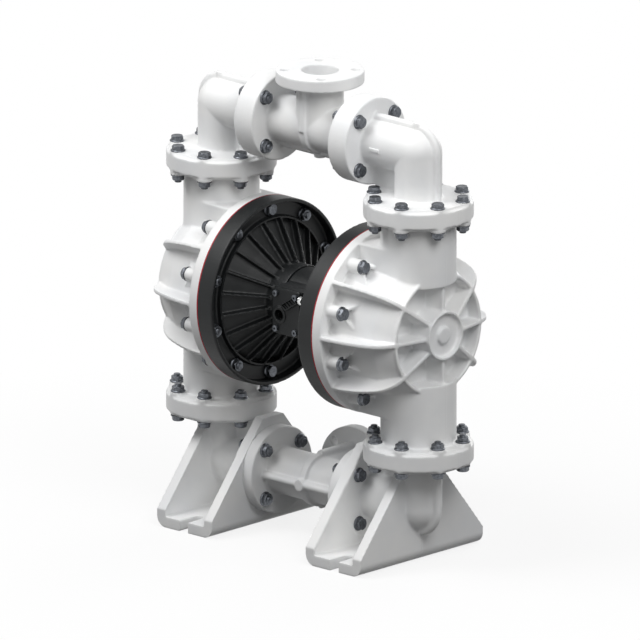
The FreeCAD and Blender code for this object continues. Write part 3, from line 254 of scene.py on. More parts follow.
whitePlastic = mouldedPlastic("moulded_white_polypropylene", {
    "shades": ((0.35, "#E9EAEB"), (0.65, "#F1F1F0")),
    "driftSize": 110,                 # cloudy patches from the flow of the melt
    "grainSize": 2.5,                 # mould grain is nearer 0.3 mm: drawn coarser so that it shows
    "grainStrength": 0.05,
    "roughness": ((0.3, 0.42), (0.7, 0.52)),
    "waveSize": 45,                   # long shallow waves, as thick walls shrink while they cool
    "waveStrength": 0.06,
    "lineWidth": 1.2,
    "lineStrength": 0.6,
})
blackPlastic = mouldedPlastic("moulded_black_polypropylene", {
    "shades": ((0.35, "#131516"), (0.65, "#1C1E1F")),
    "specular": 0.3,
    "driftSize": 60,
    "grainSize": 2.0,
    "grainStrength": 0.10,
    "roughness": ((0.3, 0.38), (0.7, 0.52)),
    "waveSize": 30,
    "waveStrength": 0.05,
    "lineWidth": 0,
})
bearingPlastic = mouldedPlastic("turned_bearing_polymer", {
    "shades": ((0.35, "#C9C3B2"), (0.65, "#D5D0C0")),
    "driftSize": 20,
    "grainSize": 1.5,
    "grainStrength": 0.08,
    "roughness": ((0.3, 0.35), (0.7, 0.5)),
    "waveSize": 12,
    "waveStrength": 0.03,
    "lineWidth": 0,
})
sealingPlastic = mouldedPlastic("pressed_fluoropolymer", {
    "shades": ((0.35, "#F0F0EC"), (0.65, "#F6F6F3")),
    "driftSize": 30,
    "grainSize": 2.0,
    "grainStrength": 0.04,
    "roughness": ((0.3, 0.3), (0.7, 0.4)),
    "waveSize": 16,
    "waveStrength": 0.03,
    "lineWidth": 0,
})


rubberSkin = {
    "pitSize": 1.6,
    "pitStrength": 0.25,
    "pitDepth": 0.2,
    "roughness": ((0.3, 0.55), (0.7, 0.75)),
    "specular": 0.35,
}


def mouldedRubber(name, look):
    # Compression moulded rubber: matt, with a faint bloom and a pitted skin
    material, tree, shader, place = plainMaterial(name)
    bloom = noiseOf(tree, place, look["bloomSize"], 4.0)
    tree.links.new(rampOf(tree, bloom.outputs["Fac"], look["shades"]), shader.inputs["Base Color"])
    pits = noiseOf(tree, place, rubberSkin["pitSize"], 5.0)
    sheen = rampOf(tree, pits.outputs["Fac"], rubberSkin["roughness"])
    tree.links.new(sheen, shader.inputs["Roughness"])
    skin = addNode(tree, "ShaderNodeBump",
                   {"Strength": rubberSkin["pitStrength"], "Distance": rubberSkin["pitDepth"] * millimetre},
                   {"Height": pits.outputs["Fac"]})
    tree.links.new(skin.outputs["Normal"], shader.inputs["Normal"])
    shader.inputs["Specular IOR Level"].default_value = rubberSkin["specular"]
    return material


redRubber = mouldedRubber("moulded_red_elastomer", {
    "shades": ((0.3, "#980E22"), (0.7, "#A8162A")),
    "bloomSize": 14,
})
blackRubber = mouldedRubber("moulded_black_rubber", {
    "shades": ((0.3, "#1B1C1D"), (0.7, "#27282A")),
    "bloomSize": 10,
})


def steel(name, look):
    # Steel: reflections streaked by how it was cut, and a few duller patches
    material, tree, shader, place = plainMaterial(name)
    shader.inputs["Metallic"].default_value = 1.0
    patches = noiseOf(tree, place, look["patchSize"], 3.0)
    tree.links.new(rampOf(tree, patches.outputs["Fac"], look["shades"]), shader.inputs["Base Color"])
    stretch = addNode(tree, "ShaderNodeMapping", {"Scale": look["streakScale"]}, {"Vector": place})
    streaks = noiseOf(tree, stretch.outputs["Vector"], look["streakSize"], 4.0)
    tree.links.new(rampOf(tree, streaks.outputs["Fac"], look["roughness"]), shader.inputs["Roughness"])
    cuts = addNode(tree, "ShaderNodeBump",
                   {"Strength": look["cut"], "Distance": look["cutDepth"] * millimetre},
                   {"Height": streaks.outputs["Fac"]})
    tree.links.new(cuts.outputs["Normal"], shader.inputs["Normal"])
    return material


fastenerSteel = steel("zinc_flake_coated_steel", {
    "shades": ((0.3, "#515459"), (0.7, "#74777C")),
    "patchSize": 5,
    "streakScale": (1, 1, 1),
    "streakSize": 1.5,
    "roughness": ((0.3, 0.34), (0.7, 0.5)),
    "cut": 0.15,
    "cutDepth": 0.05,
})
brightSteel = steel("turned_stainless_steel", {
    "shades": ((0.3, "#B9BBBD"), (0.7, "#CDCFD0")),
    "patchSize": 12,
    "streakScale": (6, 0.4, 0.4),     # fine turning marks run round the bar
    "streakSize": 1.2,
    "roughness": ((0.3, 0.16), (0.7, 0.3)),
    "cut": 0.1,
    "cutDepth": 0.05,
})
plugMetal = steel("nickel_plated_brass", {
    "shades": ((0.3, "#CFD0CF"), (0.7, "#DEDFDE")),
    "patchSize": 6,
    "streakScale": (5, 0.5, 0.5),
    "streakSize": 1.0,
    "roughness": ((0.3, 0.14), (0.7, 0.28)),
    "cut": 0.1,
    "cutDepth": 0.05,
})

slotMaterials = {
    "white_plastic": whitePlastic,
    "black_plastic": blackPlastic,
    "red_rubber": redRubber,
    "black_rubber": blackRubber,
    "dark_steel": fastenerSteel,
    "bright_steel": brightSteel,
    "plug_metal": plugMetal,
    "sealing_plastic": sealingPlastic,
    "bearing_plastic": bearingPlastic,
}
nodeSlots = {row["node"]: row["material_slot"] for row in frame["record"]["subparts"]}
for nodeName, nodeObject in nodes.items():
    nodeObject.data.materials.clear()
    nodeObject.data.materials.append(slotMaterials[nodeSlots[nodeName]])


print("Castings")

pump = {
    "shaftHeight": 0.514,
    "columns": 0.290,        # X of both valve columns
    "lowJoint": 0.2445,
    "highJoint": 0.7835,
    "manifoldJoint": 0.138,
    "fluidJoint": 0.170,     # X of the faces that clamp the diaphragm
    "airJoint": 0.167,
    "inletHeight": 0.122,
    "outletHeight": 0.906,
    "clampCircle": 0.180,    # radius of the ring of clamp bolts
    "clampBolts": 10,
    "screwSpots": (2, 7),    # places on that ring which hold a cap screw, straight above and below
}
casting = {
    "voxel": 0.0024,         # grid that the edges and roots are rounded on
    "quickVoxel": 0.006,
    "rounding": 3,           # rounds of softening: about a 2.5 mm radius
    "kept": 0.42,            # share of the faces kept
    "spare": 0.008,          # length added at a joint face while the rest is rounded, then cut off
    "jointAngle": 40,        # degrees past which an edge stays crisp
    "weld": 0.00001,         # points closer than this are one
    "onFace": 0.00005,       # points closer to a joint face than this lie on it
}
fineCasting = dict(casting, voxel=0.0013, quickVoxel=0.003, rounding=2)
airCasting = dict(casting, voxel=0.0022, rounding=2)


def activeObject(name):
    piece = bpy.context.object
    piece.name = name
    return piece


def selectOnly(piece):
    clearSelection()
    piece.select_set(True)
    bpy.context.view_layer.objects.active = piece


def applyModifier(piece, kind, settings):
    modifier = piece.modifiers.new("work", kind)
    for name, value in settings.items():
        setattr(modifier, name, value)
    bpy.ops.object.modifier_apply(modifier=modifier.name)


def selectPoints(piece, test):
    # Leaves edit mode on, with the points picked whose place passes the test
    bpy.ops.object.mode_set(mode="EDIT")
    bpy.ops.mesh.select_mode(type="VERT")
    bpy.ops.mesh.select_all(action="DESELECT")
    bpy.ops.object.mode_set(mode="OBJECT")
    for point in piece.data.vertices:
        point.select = test(point.co)
    bpy.ops.object.mode_set(mode="EDIT")


def editFaces(piece, test):
    # Leaves edit mode on, with the faces picked whose middle and normal pass the test
    bpy.ops.object.mode_set(mode="EDIT")
    bpy.ops.mesh.select_mode(type="FACE")
    bpy.ops.mesh.select_all(action="DESELECT")
    bpy.ops.object.mode_set(mode="OBJECT")
    for polygon in piece.data.polygons:
        polygon.select = test(polygon.center, polygon.normal)
    bpy.ops.object.mode_set(mode="EDIT")


def isTop(centre, normal):
    return normal.z > 0.9


def turnFacesOut():
    # Every face of the active object then points outwards
    bpy.ops.object.mode_set(mode="EDIT")
    bpy.ops.mesh.select_all(action="SELECT")
    bpy.ops.mesh.normals_make_consistent(inside=False)
    bpy.ops.object.mode_set(mode="OBJECT")


def unitCube(name):
    clearSelection()
    bpy.ops.mesh.primitive_cube_add(size=1, location=(0, 0, 0))
    return activeObject(name)


def dressed(piece, slotName, body="housing"):
    piece.data.materials.clear()
    piece.data.materials.append(slotMaterials[slotName])
    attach(piece, body)
    return piece


def roundedEdge(piece, side, reach, radius):
    # Bends the lower edge at that X into an arc, all along the foot
    for point in piece.data.vertices:
        across = radius - (reach - side * point.co.x)
        down = radius - point.co.z
        length = math.hypot(across, down)
        if across > 0 and down > 0 and length > radius:
            point.co.x = side * (reach - radius + across * radius / length)
            point.co.z = radius - down * radius / length


def mouldedCopy(nodeName, pieceName, look, joints=(), added=(), edges=()):
    # The node's own shape with the rounded edges and filled roots of a moulding. Each of joints is a
    # machined face that stays flat and crisp: its axis, its place on it, and which way it looks. The
    # bodies in added are moulded on, and each of edges is the side, reach and radius of a lower edge
    piece = bpy.data.objects.new(pieceName, nodes[nodeName].data.copy())
    bpy.context.scene.collection.objects.link(piece)
    selectOnly(piece)
    for body in added:
        body.select_set(True)
    if added:
        bpy.ops.object.join()
    bpy.ops.object.mode_set(mode="EDIT")
    bpy.ops.mesh.select_all(action="SELECT")
    bpy.ops.mesh.remove_doubles(threshold=look["weld"])
    for axis, spot, facing in joints:
        selectPoints(piece, lambda point: abs(point[axis] - spot) < look["onFace"])
        outwards = Vector((0, 0, 0))
        outwards[axis] = facing * look["spare"]
        bpy.ops.transform.translate(value=outwards)
    bpy.ops.object.mode_set(mode="OBJECT")
    grid = look["voxel"]
    applyModifier(piece, "REMESH", {"mode": "VOXEL", "voxel_size": grid, "use_smooth_shade": True})
    applyModifier(piece, "SMOOTH", {"factor": 0.5, "iterations": look["rounding"]})
    for side, reach, radius in edges:
        roundedEdge(piece, side, reach, radius)
    applyModifier(piece, "DECIMATE", {"decimate_type": "COLLAPSE", "ratio": look["kept"]})
    for axis, spot, facing in joints:
        middle = Vector((0, 0, 0))
        middle[axis] = spot
        normal = Vector((0, 0, 0))
        normal[axis] = facing
        bpy.ops.object.mode_set(mode="EDIT")
        bpy.ops.mesh.select_all(action="SELECT")
        bpy.ops.mesh.bisect(plane_co=middle, plane_no=normal, use_fill=True, clear_outer=True)
        bpy.ops.object.mode_set(mode="OBJECT")
    bpy.ops.object.shade_smooth_by_angle(angle=math.radians(look["jointAngle"]))
    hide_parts(nodeName)
    print("  " + pieceName, len(piece.data.polygons), "faces")
    return dressed(piece, nodeSlots[nodeName])


gusset = {
    "spread": 46,            # degrees between a gusset and the line to the centre
    "length": 0.037,
    "width": 0.0068,
    "foot": 0.186,           # X of its lower side, inside the cap
    "low": 0.2245,           # X of its upper edge at the boss
    "high": 0.2500,          # and at its far end, inside the dome's wall
}
foot = {
    "innerReach": 0.138,
    "outerReach": 0.300,
    "radius": 0.026,         # of its long lower edges
    "tongues": ((0.138, 0.209), (0.233, 0.300)),   # X from and to, on both sides of a slot
    "endStart": 0.160,       # Y from and to of what makes an end upright
    "end": 0.190,
    "baseTop": 0.024,
}


def makeGussets(look, side):
    # Two sloping walls from each clamp boss to the dome, but none at the cap screws
    blocks = []
    for index in range(pump["clampBolts"]):
        if index in pump["screwSpots"]:
            continue
        turn = math.radians(360 / pump["clampBolts"] * (index + 0.5))
        arm = Vector((0, math.cos(turn), math.sin(turn))) * pump["clampCircle"]
        start = arm + Vector((0, 0, pump["shaftHeight"]))
        for lean in (-1, 1):
            block = unitCube("gusset")
            heading = turn + math.pi + lean * math.radians(look["spread"])
            along = Vector((0, math.cos(heading), math.sin(heading)))
            aside = Vector((0, -math.sin(heading), math.cos(heading)))
            for point in block.data.vertices:
                far = point.co.x > 0
                edge = look["high"] if far else look["low"]
                height = edge if point.co.z > 0 else look["foot"]
                corner = start + along * (look["length"] if far else 0) + aside * look["width"] * point.co.y
                point.co = (side * height, corner.y, corner.z)
            turnFacesOut()
            blocks.append(block)
    return blocks


def makeFootEnds(look, side):
    # Upright end faces beside both slots of a foot
    blocks = []
    for direction in (-1, 1):
        for near, far in look["tongues"]:
            block = unitCube("footEnd")
            for point in block.data.vertices:
                across = far if point.co.x > 0 else near
                along = look["end"] if point.co.y > 0 else look["endStart"]
                height = look["baseTop"] if point.co.z > 0 else 0
                point.co = (side * across, direction * along, height)
            turnFacesOut()
            blocks.append(block)
    return blocks


for sideName, side in (("left", -1), ("right", 1)):
    inner = (0, side * pump["manifoldJoint"], -side)
    end = sideName.capitalize()
    mouldedCopy("outlet_elbow_" + sideName, "outletElbow" + end, casting,
                (inner, (2, pump["highJoint"], -1)))
    mouldedCopy("foot_elbow_" + sideName, "footElbow" + end, casting,
                (inner, (2, pump["lowJoint"], 1)), makeFootEnds(foot, side),
                ((side, foot["outerReach"], foot["radius"]), (-side, -foot["innerReach"], foot["radius"])))
    mouldedCopy("fluid_cap_" + sideName, "fluidCap" + end, casting,
                ((0, side * pump["fluidJoint"], -side), (2, pump["lowJoint"], -1), (2, pump["highJoint"], 1)),
                makeGussets(gusset, side))
    mouldedCopy("air_cap_" + sideName, "airCap" + end, airCasting,
                ((0, side * pump["airJoint"], side),))
for nodeName, pieceName in (("outlet_tee", "outletTee"), ("inlet_tee", "inletTee")):
    mouldedCopy(nodeName, pieceName, casting,
                ((0, -pump["manifoldJoint"], -1), (0, pump["manifoldJoint"], 1)))
for nodeName, pieceName in (("center_body", "centreBody"), ("valve_block", "valveBlock"),
                            ("valve_cover", "valveCover")):
    mouldedCopy(nodeName, pieceName, fineCasting)


print("Fasteners")

fastener = {
    "flats": 0.024,
    "height": 0.0125,
    "flangeRadius": 0.016,
    "flangeHeight": 0.004,
    "chamferBall": 0.020,    # radius of the turned chamfer
    "topCircle": 0.0114,     # radius of the flat circle inside the chamfer
    "shankRadius": 0.0078,
    "proud": 0.0059,         # length of thread beyond the nut
    "pitch": 0.002,
    "threadDepth": 0.0011,
    "threadSink": 0.001,     # how far below the top of the nut its thread starts
    "tipLength": 0.0009,
    "edge": 0.0004,
    "dishEdge": 0.0022,
    "dishDepth": 0.0005,
}
headShape = {
    "sides": 24,             # of the turned parts
    "flangeTop": 0.86,       # share of the flange's width at its top
    "threadSides": 16,
    "tip": 0.82,             # share of the thread's width at its tip
    "bevelAngle": 28,
    "smoothAngle": 30,       # degrees past which an edge stays crisp
    "plainAngle": 35,        # and on screws, pads and the muffler
}


def cutWith(piece, other, operation):
    selectOnly(piece)
    applyModifier(piece, "BOOLEAN", {"operation": operation, "solver": "EXACT", "object": other})
    bpy.data.objects.remove(other)


def joined(pieces, name):
    # One object at the origin, with every piece's place in the mesh
    clearSelection()
    for piece in pieces:
        piece.select_set(True)
    bpy.context.view_layer.objects.active = pieces[0]
    bpy.ops.object.transform_apply(location=True, rotation=True, scale=True)
    bpy.ops.object.join()
    bpy.context.object.name = name
    return bpy.context.object


def hexBlock(look):
    # A hexagonal bar whose upper corners are turned off
    clearSelection()
    height = look["height"]
    reach = look["flats"] / 2 / math.cos(math.pi / 6)
    bpy.ops.mesh.primitive_cylinder_add(vertices=6, radius=reach, depth=height, location=(0, 0, height / 2))
    block = activeObject("hexBlock")
    ball = look["chamferBall"]
    middle = height - math.sqrt(ball ** 2 - look["topCircle"] ** 2)
    clearSelection()
    bpy.ops.mesh.primitive_uv_sphere_add(segments=headShape["sides"], ring_count=headShape["sides"],
                                         radius=ball, location=(0, 0, middle))
    cutWith(block, bpy.context.object, "INTERSECT")
    return block


def flangeRing(look):
    # The washer face under the hexagon, sloped like a low cone
    clearSelection()
    radius = look["flangeRadius"]
    height = look["flangeHeight"]
    bpy.ops.mesh.primitive_cylinder_add(vertices=headShape["sides"], radius=radius, depth=height / 2,
                                        location=(0, 0, height / 4))
    ring = activeObject("flangeRing")
    editFaces(ring, isTop)
    bpy.ops.mesh.extrude_region_move(TRANSFORM_OT_translate={"value": (0, 0, height / 2)})
    bpy.ops.transform.resize(value=(headShape["flangeTop"], headShape["flangeTop"], 1))
    bpy.ops.object.mode_set(mode="OBJECT")
    return ring


def makeBolt(look):
    # Flanged hexagon head with a shallow dish in its top
    block = hexBlock(look)
    editFaces(block, isTop)
    bpy.ops.mesh.inset(thickness=look["dishEdge"])
    bpy.ops.transform.translate(value=(0, 0, -look["dishDepth"]))
    bpy.ops.object.mode_set(mode="OBJECT")
    return joined([block, flangeRing(look)], "boltPattern")


def makeNut(look):
    # Flanged nut on the end of its bolt, whose thread shows as ridges
    block = hexBlock(look)
    radius = look["shankRadius"]
    base = look["height"] - look["threadSink"]
    clearSelection()
    bpy.ops.mesh.primitive_cylinder_add(vertices=headShape["threadSides"], radius=radius,
                                        depth=look["threadSink"] * 2, location=(0, 0, base))
    thread = activeObject("thread")
    editFaces(thread, isTop)
    step = look["pitch"] / 2
    inward = 1 - look["threadDepth"] / radius
    for _ in range(int((look["proud"] - look["tipLength"]) / look["pitch"])):
        bpy.ops.mesh.extrude_region_move(TRANSFORM_OT_translate={"value": (0, 0, step)})
        bpy.ops.transform.resize(value=(inward, inward, 1))
        bpy.ops.mesh.extrude_region_move(TRANSFORM_OT_translate={"value": (0, 0, step)})
        bpy.ops.transform.resize(value=(1 / inward, 1 / inward, 1))
    bpy.ops.mesh.extrude_region_move(TRANSFORM_OT_translate={"value": (0, 0, look["tipLength"])})
    bpy.ops.transform.resize(value=(headShape["tip"], headShape["tip"], 1))
    bpy.ops.object.mode_set(mode="OBJECT")
    return joined([block, flangeRing(look), thread], "nutPattern")


def finishedPattern(piece, edge):
    # Breaks the sharp edges of a fastener
    selectOnly(piece)
    applyModifier(piece, "BEVEL", {"width": edge, "segments": 1, "limit_method": "ANGLE",
                                   "angle_limit": math.radians(headShape["bevelAngle"])})
    bpy.ops.object.shade_smooth_by_angle(angle=math.radians(headShape["smoothAngle"]))
    return piece


def ontoSeat(seat, direction, turn):
    # Takes a shape that stands on the floor to a seat, with its top towards the direction
    lean = Vector(direction).to_track_quat("Z", "Y").to_matrix().to_4x4()
    return Matrix.Translation(seat) @ lean @ Matrix.Rotation(math.radians(turn), 4, "Z")


def copiesAt(pattern, spots, nodeName, pieceName, turnStep=13):
    # One piece of many copies: each spot is a seat and the direction the head points in, and each
    # copy is turned turnStep degrees further than the last
    copies = []
    for index, (seat, direction) in enumerate(spots):
        copy = bpy.data.objects.new(pieceName + str(index), pattern.data.copy())
        bpy.context.scene.collection.objects.link(copy)
        copy.data.transform(ontoSeat(seat, direction, turnStep * index))
        copies.append(copy)
    piece = joined(copies, pieceName)
    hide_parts(nodeName)
    return dressed(piece, nodeSlots[nodeName])


bolting = {
    "jointBolts": 8,
    "jointCircle": 0.1015,
    "portBolts": 4,
    "portCircle": 0.0762,
    "plateSeat": 0.0235,     # joint plane to the seat on an elbow's flange
    "bossSeat": 0.0285,      # joint plane to the seat on a cap's boss
    "portSeatOut": 0.165,
    "portSeatIn": 0.111,
    "clampSeat": 0.225,
    "ledgeSeat": 0.150,
}


def ringSpots(count, centre, radius, axis, direction, keepSpot=None):
    # Seats on a circle, half a step round from its first axis
    spots = []
    for index in range(count):
        angle = math.radians(360 / count * (index + 0.5))
        if keepSpot and not keepSpot(index):
            continue
        if axis == "z":
            arm = Vector((math.cos(angle), math.sin(angle), 0)) * radius
        else:
            arm = Vector((0, math.cos(angle), math.sin(angle))) * radius
        spots.append((Vector(centre) + arm, direction))
    return spots


def jointSpots(height, offset, up):
    spots = []
    for side in (-1, 1):
        centre = (side * pump["columns"], 0, height + offset * up)
        spots += ringSpots(bolting["jointBolts"], centre, bolting["jointCircle"], "z", (0, 0, up))
    return spots


def portSpots(reach, outwards):
    spots = []
    for side in (-1, 1):
        for height in (pump["inletHeight"], pump["outletHeight"]):
            spots += ringSpots(bolting["portBolts"], (side * reach, 0, height), bolting["portCircle"], "x",
                               (side * outwards, 0, 0))
    return spots


def clampSpots(reach, outwards, screws):
    # The clamp's ring of both chambers: its cap screws, or else the bolts between them
    spots = []
    for side in (-1, 1):
        centre = (side * reach, 0, pump["shaftHeight"])
        spots += ringSpots(pump["clampBolts"], centre, pump["clampCircle"], "x", (side * outwards, 0, 0),
                           lambda index: (index in pump["screwSpots"]) == screws)
    return spots


boltPattern = finishedPattern(makeBolt(fastener), fastener["edge"])
nutPattern = finishedPattern(makeNut(fastener), fastener["edge"])
for nodeName, pieceName, pattern, spots in (
        ("upper_joint_bolts", "upperJointBolts", boltPattern,
         jointSpots(pump["highJoint"], bolting["plateSeat"], 1)),
        ("upper_joint_nuts", "upperJointNuts", nutPattern,
         jointSpots(pump["highJoint"], bolting["bossSeat"], -1)),
        ("lower_joint_nuts", "lowerJointNuts", nutPattern,
         jointSpots(pump["lowJoint"], bolting["bossSeat"], 1)),
        ("lower_joint_bolts", "lowerJointBolts", boltPattern,
         jointSpots(pump["lowJoint"], bolting["plateSeat"], -1)),
        ("manifold_bolts", "manifoldBolts", boltPattern, portSpots(bolting["portSeatOut"], 1)),
        ("manifold_nuts", "manifoldNuts", nutPattern, portSpots(bolting["portSeatIn"], -1)),
        ("clamp_bolts", "clampBolts", boltPattern, clampSpots(bolting["clampSeat"], 1, False)),
        ("clamp_nuts", "clampNuts", nutPattern, clampSpots(bolting["ledgeSeat"], -1, False)),
        ("clamp_cap_screws", "clampCapScrews", boltPattern, clampSpots(bolting["ledgeSeat"], -1, True))):
    copiesAt(pattern, spots, nodeName, pieceName)
bpy.data.objects.remove(boltPattern)
bpy.data.objects.remove(nutPattern)


print("Air valve and muffler")

capScrew = {
    "radius": 0.007,
    "height": 0.006,
    "socketFlats": 0.005,
    "socketDepth": 0.0035,
    "edge": 0.0005,
    "halfWidth": 0.0285,     # the four screws stand this far from the valve's middle
    "halfHeight": 0.039,
    "seat": 0.106,
    "turnStep": 17,
}


def makeCapScrew(look):
    # Cylinder head with a hexagon socket
    clearSelection()
    bpy.ops.mesh.primitive_cylinder_add(vertices=24, radius=look["radius"], depth=look["height"],
                                        location=(0, 0, look["height"] / 2))
    head = activeObject("screwPattern")
    editFaces(head, isTop)
    bpy.ops.mesh.bevel(offset=look["edge"], segments=2)
    bpy.ops.object.mode_set(mode="OBJECT")
    clearSelection()
    bpy.ops.mesh.primitive_cylinder_add(vertices=6, radius=look["socketFlats"] / 2 / math.cos(math.pi / 6),
                                        depth=look["socketDepth"] * 2, location=(0, 0, look["height"]))
    cutWith(head, bpy.context.object, "DIFFERENCE")
    selectOnly(head)
    bpy.ops.object.transform_apply(location=True, rotation=True, scale=True)
    bpy.ops.object.shade_smooth_by_angle(angle=math.radians(headShape["plainAngle"]))
    return head


screwPattern = makeCapScrew(capScrew)
screwSpots = [((x, -capScrew["seat"], pump["shaftHeight"] + z), (0, -1, 0))
              for x in (-capScrew["halfWidth"], capScrew["halfWidth"])
              for z in (-capScrew["halfHeight"], capScrew["halfHeight"])]
copiesAt(screwPattern, screwSpots, "valve_screws", "valveScrews", capScrew["turnStep"])
bpy.data.objects.remove(screwPattern)

spoolPlug = {
    "flats": 0.0154,
    "height": 0.005,
    "chamferBall": 0.014,
    "topCircle": 0.0074,
    "dishEdge": 0.002,
    "dishDepth": 0.0006,
    "flangeRadius": 0.0088,
    "flangeHeight": 0.0014,
    "edge": 0.0003,
    "front": 0.08575,        # how far the plugs' axis lies in front of the shaft
    "level": 0.549,
    "seat": 0.041,
}
plugPattern = finishedPattern(makeBolt(spoolPlug), spoolPlug["edge"])
for sideName, side in (("left", -1), ("right", 1)):
    seat = (side * spoolPlug["seat"], -spoolPlug["front"], spoolPlug["level"])
    copiesAt(plugPattern, [(seat, (side, 0, 0))],
             "spool_plug_" + sideName, "spoolPlug" + sideName.capitalize())
bpy.data.objects.remove(plugPattern)

sidePlug = {
    "flats": 0.0165,
    "height": 0.0085,
    "chamferBall": 0.0135,
    "topCircle": 0.0077,
    "dishEdge": 0.002,
    "dishDepth": 0.0006,
    "flangeRadius": 0.0092,
    "flangeHeight": 0.0016,
    "edge": 0.0003,
    "seat": (0.040, -0.1035, 0.5485),
    "turn": 30,
}
plug = finishedPattern(makeBolt(sidePlug), sidePlug["edge"])
plug.name = "sidePlug"
plug.data.transform(ontoSeat(sidePlug["seat"], (1, 0, 0), sidePlug["turn"]))
dressed(plug, "plug_metal")

pocket = {
    "corner": (-0.0135, 0.5305),     # X and Z of its left corner
    "along": (0.0345, 0.0230),       # from there along the upper bar
    "across": (0.0165, -0.0115),     # and along the left bar
    "seat": -0.1055,
    "depth": 0.0065,
    "bar": 0.0032,
    "floor": 0.0012,
    "fins": 4,
    "finWidth": 0.0016,
    "finStart": 0.1,                 # share of the recess before a fin, and the share that it takes
    "finShare": 0.8,
    "finHeight": 0.62,               # share of the frame's depth
    "edge": 0.0005,
}


def slantedBlock(look, start, share, depth):
    # A block over part of the pocket's slanted outline; start and share are fractions of its two sides
    block = unitCube("slantedBlock")
    along = Vector((look["along"][0], 0, look["along"][1]))
    across = Vector((look["across"][0], 0, look["across"][1]))
    outwards = Vector((0, -depth, 0))
    corner = Vector((look["corner"][0], look["seat"], look["corner"][1]))
    middle = corner + along * (start[0] + share[0] / 2) + across * (start[1] + share[1] / 2) + outwards / 2
    shape = Matrix((along * share[0], across * share[1], outwards)).transposed().to_4x4()
    block.data.transform(Matrix.Translation(middle) @ shape)
    return block


def makePocket(look):
    # A raised frame with a finned recess in it, cast on the valve's cover
    frameBlock = slantedBlock(look, (0, 0), (1, 1), look["depth"])
    turnFacesOut()
    editFaces(frameBlock, lambda centre, normal: normal.y < -0.9)
    bpy.ops.mesh.inset(thickness=look["bar"])
    bpy.ops.mesh.extrude_region_move(TRANSFORM_OT_translate={"value": (0, look["depth"] - look["floor"], 0)})
    bpy.ops.object.mode_set(mode="OBJECT")
    blocks = [frameBlock]
    for index in range(look["fins"]):
        spot = (index + 1) / (look["fins"] + 1)
        width = look["finWidth"] / Vector(look["along"]).length
        blocks.append(slantedBlock(look, (spot - width / 2, look["finStart"]), (width, look["finShare"]),
                                   look["depth"] * look["finHeight"]))
    frameAll = joined(blocks, "coverPocket")
    turnFacesOut()
    applyModifier(frameAll, "BEVEL", {"width": look["edge"], "segments": 2, "limit_method": "ANGLE"})
    bpy.ops.object.shade_smooth_by_angle(angle=math.radians(headShape["plainAngle"]))
    return dressed(frameAll, "black_plastic")


makePocket(pocket)

muffler = {
    "seat": (0, 0.076, pump["shaftHeight"]),
    "neckRadius": 0.0168,
    "neckLength": 0.018,
    "collarRadius": 0.0205,
    "radius": 0.0236,
    "length": 0.099,
    "collar": 0.006,         # lengths of the collar, the slope behind it and the drum's lip
    "slope": 0.004,
    "lip": 0.001,
    "endSteps": ((0.003, 0.0012), (0.004, 0.005), (0.001, 0.012), (0.003, 0.014)),   # length, drop in radius
    "slotRows": 4,
    "slotGap": 0.0035,
    "slotBar": 0.0008,
    "slotDepth": 0.0028,
    "edge": 0.0003,
    "bevelAngle": 40,
    "sides": 32,
}


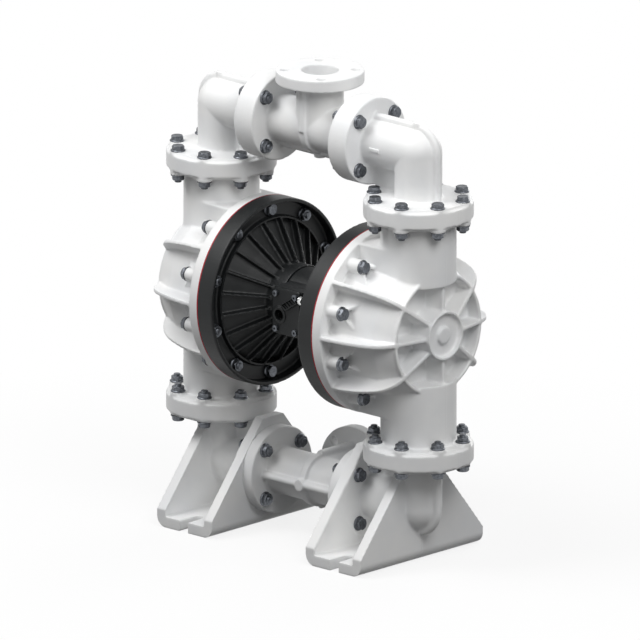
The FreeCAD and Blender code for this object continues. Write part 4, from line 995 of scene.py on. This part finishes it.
def makeMuffler(look):
    # Moulded exhaust muffler: neck, wrench collar, slotted drum and a stepped end
    clearSelection()
    bpy.ops.mesh.primitive_cylinder_add(vertices=look["sides"], radius=look["neckRadius"],
                                        depth=look["neckLength"], location=(0, 0, look["neckLength"] / 2))
    drum = activeObject("muffler")
    bpy.ops.object.transform_apply(location=True, rotation=True, scale=True)
    start = look["neckLength"] + look["collar"] + look["slope"] + look["lip"]
    end = look["length"] - sum(rise for rise, drop in look["endSteps"])
    rowHeight = (end - start) / look["slotRows"]
    steps = [(0, look["collarRadius"]), (look["collar"], look["collarRadius"]),
             (look["slope"], look["radius"] - look["lip"]), (look["lip"], look["radius"])]
    for row in range(look["slotRows"]):
        steps += [(rowHeight - look["slotGap"], look["radius"]), (look["slotGap"], look["radius"])]
    steps += [(rise, look["radius"] - drop) for rise, drop in look["endSteps"]]
    editFaces(drum, isTop)
    radius = look["neckRadius"]
    for rise, wanted in steps:
        bpy.ops.mesh.extrude_region_move(TRANSFORM_OT_translate={"value": (0, 0, rise)})
        bpy.ops.transform.resize(value=(wanted / radius, wanted / radius, 1))
        radius = wanted
    slotted = [start + rowHeight * row + (rowHeight - look["slotGap"]) / 2 for row in range(look["slotRows"])]

    def isSlot(centre, normal):
        if abs(normal.z) > 0.1 or not any(abs(centre.z - height) < look["lip"] for height in slotted):
            return False
        turn = math.degrees(math.atan2(centre.y, centre.x)) % 360
        return int(turn / (360 / look["sides"])) % 2 == 0

    editFaces(drum, isSlot)
    bpy.ops.mesh.inset(thickness=look["slotBar"], depth=-look["slotDepth"], use_individual=True)
    bpy.ops.object.mode_set(mode="OBJECT")
    applyModifier(drum, "BEVEL", {"width": look["edge"], "segments": 1, "limit_method": "ANGLE",
                                  "angle_limit": math.radians(look["bevelAngle"])})
    bpy.ops.object.shade_smooth_by_angle(angle=math.radians(headShape["plainAngle"]))
    drum.data.transform(ontoSeat(look["seat"], (0, 1, 0), 0))
    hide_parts("muffler")
    return dressed(drum, nodeSlots["muffler"])


makeMuffler(muffler)


print("Raised pads")

pad = {
    "middle": 0.208,         # along X from the pump's middle
    "height": 0.9045,
    "length": 0.029,
    "width": 0.0075,
    "inside": 0.046,         # how far in front of the pipe's axis it starts and ends
    "outside": 0.0535,
    "edge": 0.0012,
}


def makePad(look, side, front):
    # A plain oblong pad on the level pipe of an outlet elbow
    block = unitCube("elbowPad")
    block.scale = (look["length"], look["outside"] - look["inside"], look["width"])
    block.location = (side * look["middle"], front * (look["outside"] + look["inside"]) / 2, look["height"])
    bpy.ops.object.transform_apply(location=True, rotation=True, scale=True)
    editFaces(block, lambda centre, normal: normal.y * front > 0.9)
    bpy.ops.mesh.bevel(offset=look["edge"], segments=3)
    bpy.ops.object.mode_set(mode="OBJECT")
    bpy.ops.object.shade_smooth_by_angle(angle=math.radians(headShape["plainAngle"]))
    block.name = "elbowPad" + ("Left" if side < 0 else "Right") + ("Front" if front < 0 else "Back")
    return dressed(block, "white_plastic")


makePad(pad, 1, -1)
makePad(pad, -1, 1)
